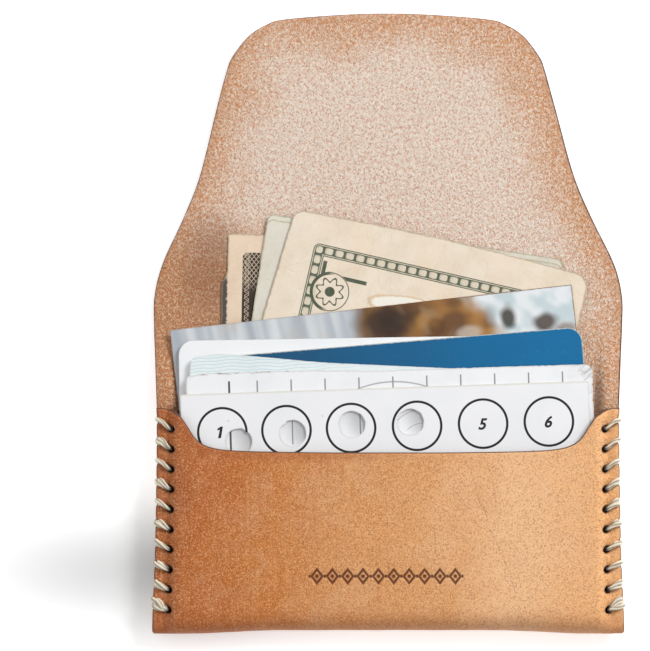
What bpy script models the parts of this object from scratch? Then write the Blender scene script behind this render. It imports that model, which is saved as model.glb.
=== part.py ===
"""Leather flap card wallet, open and loaded, lying on its back.

The hide is one piece folded at the bottom and creased below the flap.  It is divided at its
folds here, so that every length that stays rigid is a solid of its own.  +X is across the
wallet, +Y runs from the bottom fold to the tip of the flap, +Z is up from the table.
"""

import math

import bmesh
import bpy
from mathutils import Matrix, Vector

for stale in list(bpy.data.objects):
    bpy.data.objects.remove(stale, do_unlink=True)

MM = 0.001

# ---------------------------------------------------------------- driving dimensions (mm)
HIDE = 1.5                    # leather thickness
HALF_W = 50.8                 # half the width of the pouch at its foot
TIP_Y = 133.3                 # tip of the open flap
LOW_Y = -0.35                 # lowest point of the bottom fold, at its corners
GAP = 0.3                     # parting gap between lengths of the hide

BACK_MID_Z = HIDE / 2         # middle of the back panel's thickness
FRONT_MID_Z = 6.80            # middle of the front panel's thickness
SLOPE_IN = 44.8               # the panels draw together from here ...
SLOPE_OUT = 48.4              # ... to here, and lie flat in the seam margin
BACK_RISE = 2.08
FRONT_FALL = 2.17
FADE_FROM = 50.0              # the back panel's margins flatten out above the pocket
FADE_TO = 66.0
FOLD_LIFT = 0.75              # how much the middle of the fold is drawn up
FOLD_OUT = 44.0               # ... between these distances from the middle
FOLD_IN = 22.0

SHOULDER_Y = 48.3             # top of the pocket beside the mouth
MOUTH_DROP = 8.95
MOUTH_SAG = 0.55
MOUTH_OUT = 47.6
MOUTH_IN = 36.5

CREASE_Y = 77.0               # first of the four fold lines of the crease
CREASE_STEP = 2.8             # distance between them
STRIPS = ("crease_lower", "crease_middle", "crease_upper")

HOLE_X = 47.6                 # stitch holes
HOLE_R = 0.8
HOLE_LOW_Y = 4.8
HOLE_PITCH = 4.38
STITCHES = 10
THREAD_R = 0.5
THREAD_CLEAR = 0.15

# half-width of the hide at stations up its length, from the pouch to the tip
PROFILE = (
    (50.8, 0.0), (50.7, 5.0), (50.1, 17.0), (49.7, 32.0), (49.55, 46.0), (50.0, 58.0),
    (50.4, 66.0), (50.1, 72.6), (48.5, 79.6), (44.1, 89.1),
    (40.4, 98.5), (37.0, 112.6), (34.7, 121.4), (31.3, 127.8), (24.6, 131.5),
    (11.1, 132.9), (0.0, 133.3),
)

MID_Y = (TIP_Y + LOW_Y) / 2   # the origin is under the middle of the object


# ---------------------------------------------------------------- shape of the hide
def smooth(t):
    t = min(max(t, 0.0), 1.0)
    return t * t * (3.0 - 2.0 * t)


def slope(x):
    """0 in the middle of a panel, 1 in its seam margins."""
    return smooth((abs(x) - SLOPE_IN) / (SLOPE_OUT - SLOPE_IN))


def back_z(x, y):
    fade = 1.0 - smooth((y - FADE_FROM) / (FADE_TO - FADE_FROM))
    return BACK_MID_Z + BACK_RISE * slope(x) * fade


def front_z(x, y=0.0):
    return FRONT_MID_Z - FRONT_FALL * slope(x)


def drawn_in(x, y):
    """The seams draw the pouch in above its foot: x of the straight pouch to x of this one."""
    share = min(max((abs(x) - SLOPE_IN) / (SLOPE_OUT - SLOPE_IN), 0.0), 1.0)
    return x - math.copysign((HALF_W - half_width(max(y, 0.0))) * share, x)


def fold_radius(x):
    return (front_z(x) - back_z(x, 0.0)) / 2


def fold_start(x):
    """Height at which both panels end and the bottom fold begins."""
    low = LOW_Y + FOLD_LIFT * smooth((FOLD_OUT - abs(x)) / (FOLD_OUT - FOLD_IN))
    return low + fold_radius(x) + HIDE / 2 + GAP / 2


def mouth_y(x):
    inner = smooth(max(0.0, (MOUTH_OUT - abs(x)) / (MOUTH_OUT - MOUTH_IN)) ** 0.93)
    sag = max(0.0, 1.0 - (x / MOUTH_IN) ** 2)
    return SHOULDER_Y - MOUTH_DROP * inner - MOUTH_SAG * sag


def rounded_profile(steps=4):
    """Catmull-Rom curve through the profile's stations, as (half-width, y) points."""
    points = [Vector(p) for p in PROFILE]
    mirrored = Vector((-PROFILE[-2][0], PROFILE[-2][1]))
    points = [points[0] * 2 - points[1]] + points + [mirrored]
    curve = []
    for a, b, c, d in zip(points, points[1:], points[2:], points[3:]):
        for i in range(steps):
            t = i / steps
            p = 2 * b + (c - a) * t + (2 * a - 5 * b + 4 * c - d) * t ** 2
            p += (3 * b - a - 3 * c + d) * t ** 3
            curve.append(p / 2)
    curve.append(Vector(PROFILE[-1]))
    return curve


EDGE = rounded_profile()


def half_width(y):
    for low, high in zip(EDGE, EDGE[1:]):
        if low.y <= y <= high.y:
            share = (y - low.y) / max(high.y - low.y, 1e-9)
            return low.x + (high.x - low.x) * share
    return EDGE[-1].x


# ---------------------------------------------------------------- building helpers
collection = bpy.data.collections.new("leather_card_wallet")
bpy.context.scene.collection.children.link(collection)
cutters = bpy.data.collections.new("cutters")
cutters.hide_render = True
bpy.context.scene.collection.children.link(cutters)


def material(name, colour, roughness):
    made = bpy.data.materials.new(name)
    made.use_nodes = True
    shader = made.node_tree.nodes["Principled BSDF"]
    shader.inputs["Base Color"].default_value = (*colour, 1.0)
    shader.inputs["Roughness"].default_value = roughness
    return made


def place(x, y, z):
    """A point of the wallet, in metres about the object's origin."""
    return Vector((x, y - MID_Y, z)) * MM


def add(name, bm, colour, roughness, origin=(0.0, 0.0, 0.0), turn=0.0):
    """Turns a bmesh into a named object whose mesh is held about its own origin."""
    bmesh.ops.recalc_face_normals(bm, faces=bm.faces[:])
    mesh = bpy.data.meshes.new(name)
    bm.to_mesh(mesh)
    bm.free()
    made = bpy.data.objects.new(name, mesh)
    made.location = origin
    made.rotation_euler.z = turn
    mesh.materials.append(material(name, colour, roughness))
    collection.objects.link(made)
    return made


def soften(made, width, segments=2):
    bevel = made.modifiers.new("burnished edge", "BEVEL")
    bevel.limit_method = "WEIGHT"
    bevel.width = width * MM
    bevel.segments = segments


def slab(points, normals, rims):
    """A closed solid of the hide's thickness about a grid of middle points.

    points[i][j] and normals[i][j] run across (i) and along (j); rims names the sides
    ("first", "last" across; "near", "far" along) whose edges get a bevel weight."""
    bm = bmesh.new()
    weight = bm.edges.layers.float.new("bevel_weight_edge")
    wide = len(points)
    long = len(points[0])
    skins = []
    for side in (0.5, -0.5):
        skins.append([[bm.verts.new(place(*(p + n * HIDE * side))) for p, n in zip(ps, ns)]
                      for ps, ns in zip(points, normals)])
    for skin in skins:
        for i in range(wide - 1):
            for j in range(long - 1):
                bm.faces.new((skin[i][j], skin[i + 1][j], skin[i + 1][j + 1], skin[i][j + 1]))
    sides = {
        "first": [(0, j) for j in range(long)],
        "last": [(wide - 1, j) for j in range(long)],
        "near": [(i, 0) for i in range(wide)],
        "far": [(i, long - 1) for i in range(wide)],
    }
    for side, steps in sides.items():
        for (i, j), (k, m) in zip(steps, steps[1:]):
            bm.faces.new((skins[0][i][j], skins[0][k][m], skins[1][k][m], skins[1][i][j]))
            if side in rims:
                for skin in skins:
                    bm.edges.get((skin[i][j], skin[k][m]))[weight] = 1.0
    return bm


def surface_normals(at, across, along):
    """Unit normals of the surface at(u, v) at every pair of the given values."""
    step = 0.02
    rows = []
    for u, vs in zip(across, along):
        row = []
        for v in vs:
            du = at(u + step, v) - at(u - step, v)
            dv = at(u, v + step) - at(u, v - step)
            row.append(du.cross(dv).normalized())
        rows.append(row)
    return rows


def panel(height, columns, rows_of, rims):
    """A panel of the hide: height(x, y) is its middle surface."""
    def at(x, y):
        return Vector((drawn_in(x, y), y, height(x, y)))
    rows = [rows_of(x) for x in columns]
    normals = surface_normals(at, columns, rows)
    points = [[at(x, y) for y in ys] for x, ys in zip(columns, rows)]
    return points, normals, slab(points, normals, rims)


def mirrored(values):
    return sorted({-v for v in values} | set(values))


MARGIN = (HALF_W, 48.55, 47.95, 47.2, 46.2, 45.3, SLOPE_IN)
SEAM_ROWS = (11.4, 24.5, 37.6)      # heights between stitches where the sides may bend
GRAIN = (0.50, 0.22, 0.07)
FLESH = (0.56, 0.34, 0.22)
THREAD = (0.72, 0.66, 0.52)

# ---------------------------------------------------------------- the hide
front_columns = mirrored(MARGIN + (43.5, 42.6, 41.7, 40.6, 39.4, 38.0, 36.5, 30.0, 20.0, 10.0, 0.0))
_, _, bm = panel(front_z, front_columns,
                 lambda x: (fold_start(x) + GAP / 2,) + SEAM_ROWS + (mouth_y(x),),
                 ("first", "last", "far"))
front_panel = add("front_panel", bm, GRAIN, 0.5)

back_columns = mirrored(MARGIN + (39.0, 35.0, 31.0, 27.0, 23.0, 0.0))
back_rows = SEAM_ROWS + (FADE_FROM, 53.2, 56.4, 59.6, 62.8, FADE_TO, 71.5, CREASE_Y - GAP / 2)
_, _, bm = panel(back_z, back_columns,
                 lambda x: (fold_start(x) + GAP / 2,) + back_rows, ("first", "last"))
back_panel = add("back_panel", bm, GRAIN, 0.5)


def fold_at(x, angle):
    radius = fold_radius(x)
    middle = (front_z(x) + back_z(x, 0.0)) / 2
    return Vector((x, fold_start(x) - GAP / 2 - radius * math.sin(angle),
                   middle + radius * math.cos(angle)))


turns = [math.pi * i / 10 for i in range(11)]
fold_angles = [turns for _ in back_columns]
points = [[fold_at(x, a) for a in turns] for x in back_columns]
normals = [[-n for n in row] for row in surface_normals(fold_at, back_columns, fold_angles)]
bottom_fold = add("bottom_fold", slab(points, normals, ("first", "last")), GRAIN, 0.5)

for panel_object in (front_panel, back_panel, bottom_fold):
    soften(panel_object, 0.3)

up = Vector((0.0, 0.0, 1.0))
for index, name in enumerate(STRIPS):
    hinge = CREASE_Y + index * CREASE_STEP
    ends = (hinge + GAP / 2, hinge + CREASE_STEP - GAP / 2)
    points = [[Vector((side * half_width(y), y, BACK_MID_Z)) for y in ends] for side in (-1, 0, 1)]
    bm = slab(points, [[up, up]] * 3, ("first", "last"))
    origin = place(0.0, hinge, HIDE)
    bmesh.ops.translate(bm, verts=bm.verts[:], vec=-origin)
    soften(add(name, bm, FLESH, 0.8, origin), 0.3)

# the flap is the outline beyond the last fold line, thickened downwards
hinge = CREASE_Y + len(STRIPS) * CREASE_STEP
start = hinge + GAP / 2
rim = [Vector((half_width(start), start))] + [p for p in EDGE if p.y > start + 0.2]
outline = rim + [Vector((-p.x, p.y)) for p in reversed(rim[:-1])]
bm = bmesh.new()
weight = bm.edges.layers.float.new("bevel_weight_edge")
origin = place(0.0, hinge, HIDE)
for z in (HIDE, 0.0):
    bm.faces.new([bm.verts.new(place(p.x, p.y, z) - origin) for p in outline])
bm.verts.ensure_lookup_table()
count = len(outline)
for i in range(count):
    j = (i + 1) % count
    bm.faces.new((bm.verts[i], bm.verts[j], bm.verts[j + count], bm.verts[i + count]))
    if j:
        bm.edges.get((bm.verts[i], bm.verts[j]))[weight] = 1.0
        bm.edges.get((bm.verts[i + count], bm.verts[j + count]))[weight] = 1.0
soften(add("flap", bm, FLESH, 0.8, origin), 0.3)

# ---------------------------------------------------------------- stitch holes and lacing
bm = bmesh.new()
for side in (-1, 1):
    for index in range(STITCHES):
        y = HOLE_LOW_Y + index * HOLE_PITCH
        centre = place(side * drawn_in(HOLE_X, y), y, 4.0)
        bmesh.ops.create_cone(bm, cap_ends=True, segments=12, radius1=HOLE_R * MM,
                              radius2=HOLE_R * MM, depth=12 * MM,
                              matrix=Matrix.Translation(centre) @ Matrix.Rotation(0.2, 4, "Z"))
hole_mesh = bpy.data.meshes.new("stitch_hole_cutter")
bm.to_mesh(hole_mesh)
bm.free()
hole_cutter = bpy.data.objects.new("stitch_hole_cutter", hole_mesh)
hole_cutter.display_type = "WIRE"
hole_cutter.hide_render = True
cutters.objects.link(hole_cutter)
for panel_object in (front_panel, back_panel):
    cut = panel_object.modifiers.new("stitch holes", "BOOLEAN")
    cut.operation = "DIFFERENCE"
    cut.solver = "EXACT"
    cut.object = hole_cutter


def lacing_path(side):
    """Whip stitch: up through a hole, out over the edge, back behind to the next hole."""
    top = front_z(HALF_W) + HIDE / 2 + THREAD_CLEAR + THREAD_R
    low = back_z(HALF_W, 0.0) - HIDE / 2 - THREAD_CLEAR - THREAD_R
    out = HALF_W + THREAD_CLEAR + THREAD_R + 0.1
    path = []
    for index in range(STITCHES):
        y = HOLE_LOW_Y + index * HOLE_PITCH
        path += [
            (HOLE_X, y, low + 0.55), (HOLE_X, y, top - 0.55),
            (HOLE_X + 0.16, y + 0.1, top - 0.16), (HOLE_X + 0.55, y + 0.3, top),
            (out - 0.65, y + 1.95, top), (out - 0.18, y + 2.15, top - 0.18),
            (out, y + 2.25, top - 0.7), (out, y + 2.35, low + 0.7),
            (out - 0.18, y + 2.45, low + 0.18), (out - 0.65, y + 2.65, low),
        ]
        if index < STITCHES - 1:
            following = y + HOLE_PITCH
            path += [(HOLE_X + 0.55, following - 0.3, low),
                     (HOLE_X + 0.16, following - 0.1, low + 0.16)]
    path.append((HOLE_X + 0.9, path[-1][1] + 1.0, low))
    return [place(side * drawn_in(x, y), y, z) for x, y, z in path]


for name, side in (("left_lacing", -1), ("right_lacing", 1)):
    path = lacing_path(side)
    curve = bpy.data.curves.new(name, "CURVE")
    curve.dimensions = "3D"
    curve.bevel_depth = THREAD_R * MM
    curve.bevel_resolution = 2
    curve.use_fill_caps = True
    spline = curve.splines.new("POLY")
    spline.points.add(len(path) - 1)
    for point, at in zip(spline.points, path):
        point.co = (*at, 1.0)
    lacing = bpy.data.objects.new(name, curve)
    curve.materials.append(material(name, THREAD, 0.9))
    collection.objects.link(lacing)


# ---------------------------------------------------------------- what the pocket holds
def flat_piece(name, corner, width, height, tilt, low, thick, radii, colour, roughness):
    """A card or a note: its top left corner, its tilt in degrees and its underside height.

    radii are those of the top left, top right, bottom right and bottom left corners."""
    halves = ((-1, 1), (1, 1), (1, -1), (-1, -1))
    outline = []
    for number, ((sx, sy), radius) in enumerate(zip(halves, radii)):
        cx = sx * (width / 2 - radius)
        cy = sy * (height / 2 - radius)
        first = math.pi - number * math.pi / 2
        for step in range(5):
            angle = first - math.pi / 2 * step / 4
            outline.append((cx + radius * math.cos(angle), cy + radius * math.sin(angle)))
    bm = bmesh.new()
    for z in (thick / 2, -thick / 2):
        bm.faces.new([bm.verts.new((x * MM, y * MM, z * MM)) for x, y in outline])
    bm.verts.ensure_lookup_table()
    count = len(outline)
    for i in range(count):
        j = (i + 1) % count
        bm.faces.new((bm.verts[i], bm.verts[j], bm.verts[j + count], bm.verts[i + count]))
    turn = math.radians(tilt)
    to_centre = Matrix.Rotation(turn, 2) @ Vector((width / 2, -height / 2))
    centre = place(corner[0] + to_centre.x, corner[1] + to_centre.y, low + thick / 2)
    return add(name, bm, colour, roughness, centre, turn)


# name, top left corner, width, height, tilt, underside, thickness, corner radii, colour, roughness
flat_piece("back_note", (-34.75, 85.9), 33.1, 78.0, -1.2, 1.62, 0.25,
           (0.6, 1.0, 1.0, 1.0), (0.66, 0.50, 0.36), 0.9)
flat_piece("middle_note", (-26.1, 90.3), 64.6, 73.0, -8.9, 1.99, 0.25,
           (1.6, 1.6, 1.0, 1.0), (0.60, 0.58, 0.44), 0.9)
flat_piece("front_note", (-20.4, 90.5), 64.6, 72.0, -12.9, 2.36, 0.25,
           (2.0, 3.0, 1.0, 1.0), (0.68, 0.60, 0.44), 0.9)
flat_piece("photo_print", (-47.15, 65.0), 86.6, 54.0, 6.5, 2.73, 0.22,
           (0.3, 0.3, 0.3, 0.3), (0.40, 0.38, 0.36), 0.35)
flat_piece("white_card", (-45.4, 62.8), 85.6, 54.0, 0.9, 3.07, 0.76,
           (3.18, 3.18, 3.18, 3.18), (0.86, 0.86, 0.86), 0.35)
flat_piece("blue_card", (-42.95, 58.8), 84.6, 54.0, 4.76, 3.95, 0.76,
           (3.18, 3.18, 3.18, 3.18), (0.02, 0.18, 0.38), 0.35)
flat_piece("ticket", (-42.7, 59.4), 80.0, 48.0, -2.6, 4.83, 0.20,
           (1.6, 0.4, 0.4, 0.4), (0.74, 0.80, 0.80), 0.8)
flat_piece("tick_card", (-43.75, 55.2), 87.5, 50.8, 1.7, 5.15, 0.25,
           (0.8, 1.6, 0.5, 0.5), (0.86, 0.86, 0.86), 0.7)
punch_card = flat_piece("punch_card", (-44.95, 51.2), 87.9, 47.5, 1.9, 5.52, 0.30,
                        (0.5, 0.5, 0.5, 0.5), (0.86, 0.86, 0.86), 0.7)

# four of the punch card's six places have been punched, by hand and off centre
PUNCH_R = 2.85
PUNCHED = ((-32.3, 41.1), (-20.7, 42.9), (-8.0, 44.8), (4.6, 45.3))
bm = bmesh.new()
for x, y in PUNCHED:
    bmesh.ops.create_cone(bm, cap_ends=True, segments=24, radius1=PUNCH_R * MM,
                          radius2=PUNCH_R * MM, depth=2 * MM,
                          matrix=Matrix.Translation(place(x, y, 5.67)))
punch_mesh = bpy.data.meshes.new("punch_cutter")
bm.to_mesh(punch_mesh)
bm.free()
punch_cutter = bpy.data.objects.new("punch_cutter", punch_mesh)
punch_cutter.display_type = "WIRE"
punch_cutter.hide_render = True
cutters.objects.link(punch_cutter)
cut = punch_card.modifiers.new("punched places", "BOOLEAN")
cut.operation = "DIFFERENCE"
cut.solver = "EXACT"
cut.object = punch_cutter
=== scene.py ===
"""Looks of the leather flap card wallet, built round its CAD frame.

The hide is meshed once in its flat pattern, with its rim and stitch holes, and then folded
along the CAD model's own shape.  The pouch, the flap, the lacing, the cards, the numerals
and the notes ride with CAD bodies; the four lengths along the crease stay where they lie.
Lengths are in millimetres until a mesh is written.
"""

import math

import bpy
import numpy as np
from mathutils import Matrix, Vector
from mathutils.geometry import delaunay_2d_cdt
from mathutils.kdtree import KDTree


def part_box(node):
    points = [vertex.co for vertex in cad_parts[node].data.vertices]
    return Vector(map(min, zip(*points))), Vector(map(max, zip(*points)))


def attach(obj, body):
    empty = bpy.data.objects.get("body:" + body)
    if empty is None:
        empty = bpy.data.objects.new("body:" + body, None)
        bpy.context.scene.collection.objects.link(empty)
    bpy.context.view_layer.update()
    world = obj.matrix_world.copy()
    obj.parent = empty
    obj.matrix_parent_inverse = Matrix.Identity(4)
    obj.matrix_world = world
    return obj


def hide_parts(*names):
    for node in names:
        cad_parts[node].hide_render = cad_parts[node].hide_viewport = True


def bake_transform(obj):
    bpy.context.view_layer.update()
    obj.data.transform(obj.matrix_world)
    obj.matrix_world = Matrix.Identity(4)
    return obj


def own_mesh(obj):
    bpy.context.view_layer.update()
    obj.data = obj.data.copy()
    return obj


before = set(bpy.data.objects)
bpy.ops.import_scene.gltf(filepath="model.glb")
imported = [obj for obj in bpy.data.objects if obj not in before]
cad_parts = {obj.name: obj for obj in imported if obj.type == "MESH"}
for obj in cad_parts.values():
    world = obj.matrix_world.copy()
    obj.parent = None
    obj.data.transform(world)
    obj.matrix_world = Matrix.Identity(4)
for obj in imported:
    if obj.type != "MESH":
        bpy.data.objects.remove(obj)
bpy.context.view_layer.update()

MM = 0.001

# ---------------------------------------------------------------- sizes shared with the CAD model
HIDE = 1.5
HALF_W = 50.8
TIP_Y = 133.3
LOW_Y = -0.35
BACK_MID_Z = HIDE / 2
FRONT_MID_Z = 6.80
SLOPE_IN = 44.8
SLOPE_OUT = 48.4
BACK_RISE = 2.08
FRONT_FALL = 2.17
FADE_FROM = 50.0
FADE_TO = 66.0
FOLD_LIFT = 0.75
FOLD_OUT = 44.0
FOLD_IN = 22.0
SHOULDER_Y = 48.3
CREASE_Y = 77.0
CREASE_STEP = 2.8
HOLE_X = 47.25
HOLE_LOW_Y = 4.95
HOLE_PITCH = 4.32
STITCHES = 10
PROFILE = (
    (50.8, 0.0), (50.7, 5.0), (50.2, 17.0), (49.9, 32.0), (49.8, 46.0), (50.25, 58.0),
    (50.6, 66.0), (50.5, 72.6), (48.7, 79.6), (44.2, 89.1), (40.4, 98.5), (36.7, 112.6),
    (34.3, 121.4), (33.0, 124.4), (29.7, 128.6), (26.0, 131.0), (22.1, 132.2),
    (10.0, 133.2), (0.0, 133.5),
)
# the hide is a little out of true: how far its middle lies to the side, by y
OFF_TRUE = ((0.0, -0.2), (50.0, -0.25), (78.0, -0.1), (91.0, -0.3), (104.0, -0.5),
            (117.0, -0.65), (133.3, -0.6))
# the mouth of the pocket, by distance from the middle
MOUTH = (
    (0.0, 38.8), (12.7, 38.8), (26.8, 39.0), (32.7, 39.2), (35.7, 39.45), (37.7, 39.8),
    (39.1, 40.25), (40.1, 40.75), (40.9, 41.35), (41.6, 42.1), (42.1, 42.8), (42.8, 43.95),
    (43.6, 45.2), (44.3, 46.2), (45.1, 47.0), (45.8, 47.55), (46.6, 47.9), (47.6, 48.15),
    (48.8, 48.3), (52.0, 48.3),
)
ARC = 9.5                     # length given to the bottom fold in the flat pattern

# the tip of the open flap is the CAD model's highest point along +Y
MID_Y = TIP_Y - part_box("flap")[1][1] / MM
FAR = 1e9                     # farther than any edge


# ---------------------------------------------------------------- the hide's shape
def smooth(t):
    t = np.clip(t, 0.0, 1.0)
    return t * t * (3.0 - 2.0 * t)


def spline(points, steps=14, gap=None):
    """A Catmull-Rom curve through all but the first and the last of the points.

    Each span has so many steps, or has its points about gap apart."""
    points = np.array(points, float)
    curve = []
    for a, b, c, d in zip(points, points[1:], points[2:], points[3:]):
        count = max(2, int(np.linalg.norm(c - b) / gap)) if gap else steps
        for i in range(count):
            t = i / count
            p = 2 * b + (c - a) * t + (2 * a - 5 * b + 4 * c - d) * t ** 2
            curve.append((p + (3 * b - a - 3 * c + d) * t ** 3) / 2)
    return np.array(curve + [points[-2]])


EDGE = spline(((50.9, -5.0),) + PROFILE + ((-PROFILE[-2][0], PROFILE[-2][1]),))
MOUTH_LINE = spline(((-12.7, 38.8),) + MOUTH + ((56.0, 48.3),), 6)


def half_width(y):
    """Half the hide's width at y."""
    return np.interp(y, EDGE[:, 1], EDGE[:, 0])


def slope(x, y=0.0):
    """0 in the middle of a panel, 1 in its seam margins, which lean in above the foot."""
    out = SLOPE_OUT - (HALF_W - half_width(np.minimum(y, 72.0)))
    return smooth((np.abs(x) - SLOPE_IN) / (out - SLOPE_IN))


def back_z(x, y=0.0):
    fade = 1 - smooth((y - FADE_FROM) / (FADE_TO - FADE_FROM))
    return BACK_MID_Z + BACK_RISE * slope(x, y) * fade


def front_z(x, y=0.0):
    return FRONT_MID_Z - FRONT_FALL * slope(x, y)


def fold_radius(x):
    return (front_z(x) - back_z(x)) / 2


def fold_start(x):
    """Where the back panel ends and the bottom fold begins, in y."""
    low = LOW_Y + FOLD_LIFT * smooth((FOLD_OUT - np.abs(x)) / (FOLD_OUT - FOLD_IN))
    return low + fold_radius(x) + HIDE / 2


def mouth_y(x):
    return np.interp(np.abs(x), MOUTH_LINE[:, 0], MOUTH_LINE[:, 1])


def off_true(y):
    places, shifts = zip(*OFF_TRUE)
    return np.interp(y, places, shifts)


def waves(x, y, size, seed, count=9):
    """A smooth random field of about unit height whose swells are about `size` mm apart."""
    draw = np.random.default_rng(seed)
    total = np.zeros(np.broadcast(x, y).shape)
    for _ in range(count):
        angle, phase = draw.uniform(0, math.tau, 2)
        rate = math.tau / (size * draw.uniform(0.7, 1.5))
        total = total + np.sin(rate * (x * math.cos(angle) + y * math.sin(angle)) + phase)
    return total / math.sqrt(count)


def folded(x, p):
    """Middle surface of the hide at pattern point (x, p): p is y on the back and the flap."""
    start = fold_start(x)
    turn = np.clip((start - p) / ARC, 0.0, 1.0) * math.pi
    radius = fold_radius(x)
    centre = (front_z(x) + back_z(x)) / 2
    up_back = np.maximum(p - start, 0.0)
    up_front = np.maximum(start - ARC - p, 0.0)
    y = start - radius * np.sin(turn) + up_back + up_front
    z = centre - radius * np.cos(turn)
    on_back = p >= start
    z = np.where(on_back, back_z(x, y), z)
    z = np.where(up_front > 0, front_z(x, y), z)
    # the flap is not perfectly flat
    ease = smooth((p - 88.0) / 30.0)
    z = z + np.where(on_back, 0.10 * ease * (1 + waves(x, p, 46.0, 3)), 0.0)
    return np.stack([x + off_true(y), y, z], axis=-1)


def to_pattern(x, y):
    """Pattern coordinate p of the point (x, y) of the front panel."""
    return 2 * fold_start(x) - ARC - y


# ---------------------------------------------------------------- meshing
SHARP = math.radians(40)      # edges that turn more than this are not smoothed


def loop_edges(first, count):
    return [(first + i, first + (i + 1) % count) for i in range(count)]


def inside(points, loop):
    """Which points lie inside the closed loop."""
    x, y = points[:, 0], points[:, 1]
    found = np.zeros(len(points), bool)
    for (ax, ay), (bx, by) in zip(loop, np.roll(loop, -1, axis=0)):
        if ay == by:
            continue
        crosses = (ay > y) != (by > y)
        found ^= crosses & (x < (bx - ax) * (y - ay) / (by - ay) + ax)
    return found


def distance_to(points, loops):
    """Distance from each point to the nearest of the closed loops."""
    best = np.full(len(points), FAR)
    for loop in loops:
        for a, b in zip(loop, np.roll(loop, -1, axis=0)):
            along = b - a
            size = along @ along
            if size < 1e-12:
                continue
            t = np.clip(((points - a) @ along) / size, 0, 1)
            best = np.minimum(best, np.linalg.norm(points - a - t[:, None] * along, axis=1))
    return best


def around(count):
    """Angles that share out a full turn."""
    return np.linspace(0, math.tau, count + 1)[:-1]


def lattice(xs, ys):
    """Every (x, y) of two lists of coordinates, row by row."""
    return np.stack(np.meshgrid(xs, ys), axis=-1).reshape(-1, 2)


def quarter(share):
    """Height of a quarter circle at share (0 to 1) of its width."""
    return np.sqrt(1 - (1 - np.clip(share, 0, 1)) ** 2)


def inset(loop, depth):
    """Points a little way inside (or, for a hole, outside) an anticlockwise loop."""
    ahead = np.roll(loop, -1, axis=0) - np.roll(loop, 1, axis=0)
    ahead /= np.maximum(np.linalg.norm(ahead, axis=1), 1e-9)[:, None]
    return loop + depth * np.stack([-ahead[:, 1], ahead[:, 0]], axis=1)


def triangulate(outline, holes, grid, rings, lines=(), keep=0.22):
    """Triangles of a flat piece: its outline, holes, inner grid points, rim rings and lines."""
    edge_distance = distance_to(grid, [outline])
    hole_distance = np.full(len(grid), FAR)
    if holes:
        tree = KDTree(sum(len(h) for h in holes))
        for index, point in enumerate(np.concatenate(holes)):
            tree.insert((*point, 0.0), index)
        tree.balance()
        hole_distance = np.array([tree.find((*g, 0.0))[2] for g in grid])
    clear = max(rings, default=0.0) + keep
    grid = grid[inside(grid, outline) & (edge_distance > clear) & (hole_distance > 0.35)]
    for hole in holes:
        grid = grid[~inside(grid, hole)]
    points, edges = [outline], loop_edges(0, len(outline))
    count = len(outline)
    for hole in holes:
        points.append(hole)
        edges += loop_edges(count, len(hole))
        count += len(hole)
    for line in lines:
        points.append(line)
        edges += [(count + i, count + i + 1) for i in range(len(line) - 1)]
        count += len(line)
    for depth in rings:
        ring = inset(outline, depth)
        points.append(ring[distance_to(ring, [outline]) > 0.8 * depth])
    points.append(grid)
    flat = np.concatenate(points)
    made, _, faces, *_ = delaunay_2d_cdt([Vector(p) for p in flat], edges, [], 1, 1e-5)
    flat = np.array([tuple(v) for v in made])
    faces = np.array([f for f in faces if len(f) == 3])
    middles = flat[faces].mean(axis=1)
    drop = np.zeros(len(faces), bool)
    for hole in holes:
        drop |= inside(middles, hole)
    faces = faces[~drop]
    a, b, c = flat[faces[:, 0]], flat[faces[:, 1]], flat[faces[:, 2]]
    area = (b[:, 0] - a[:, 0]) * (c[:, 1] - a[:, 1]) - (b[:, 1] - a[:, 1]) * (c[:, 0] - a[:, 0])
    faces[area < 0] = faces[area < 0][:, ::-1]
    return flat, faces


def linked(name, data):
    """A new object in the scene."""
    made = bpy.data.objects.new(name, data)
    bpy.context.scene.collection.objects.link(made)
    return made


def keep_facts(mesh, facts):
    """Store arrays with one number or vector per point as attributes, for the materials."""
    for label, values in facts.items():
        values = np.asarray(values, np.float32)
        kind, field = ("FLOAT_VECTOR", "vector") if values.ndim == 2 else ("FLOAT", "value")
        mesh.attributes.new(label, kind, "POINT").data.foreach_set(field, values.ravel())


def mesh_of(name, points, polygons, materials, facts):
    """A smooth mesh from points in the wallet's own millimetres."""
    mesh = bpy.data.meshes.new(name)
    mesh.from_pydata([tuple(p) for p in (points - (0, MID_Y, 0)) * MM], [], polygons)
    for material in materials:
        mesh.materials.append(material)
    keep_facts(mesh, facts)
    mesh.polygons.foreach_set("use_smooth", [True] * len(polygons))
    return mesh


def thicken(name, top, bottom, faces, slots, materials, facts, is_open=None):
    """A solid between two skins of the same triangles.

    slots are the materials of the top, the bottom and the wall.  facts have one value per
    point of a skin.  No wall stands between points that is_open marks."""
    count = len(top)
    edges = np.concatenate([faces[:, [0, 1]], faces[:, [1, 2]], faces[:, [2, 0]]])
    key = np.sort(edges, axis=1)
    _, index, uses = np.unique(key, axis=0, return_inverse=True, return_counts=True)
    rim = edges[uses[index.ravel()] == 1]
    if is_open is not None:
        rim = rim[~(is_open[rim[:, 0]] & is_open[rim[:, 1]])]
    walls = np.stack([rim[:, 1], rim[:, 0], rim[:, 0] + count, rim[:, 1] + count], axis=1)
    under = faces[:, ::-1] + count
    used = np.zeros(2 * count, bool)
    used[faces.ravel()] = True
    used[under.ravel()] = True
    renumber = np.cumsum(used) - 1
    verts = np.concatenate([top, bottom])[used]
    polygons = [tuple(f) for skin in (faces, under, walls) for f in renumber[skin]]
    both = {label: np.concatenate([values, values])[used] for label, values in facts.items()}
    mesh = mesh_of(name, verts, polygons, materials, both)
    which = [slots[0]] * len(faces) + [slots[1]] * len(under) + [slots[2]] * len(walls)
    mesh.polygons.foreach_set("material_index", which)
    mesh.set_sharp_from_angle(angle=SHARP)
    mesh.validate()
    return linked(name, mesh)


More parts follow.
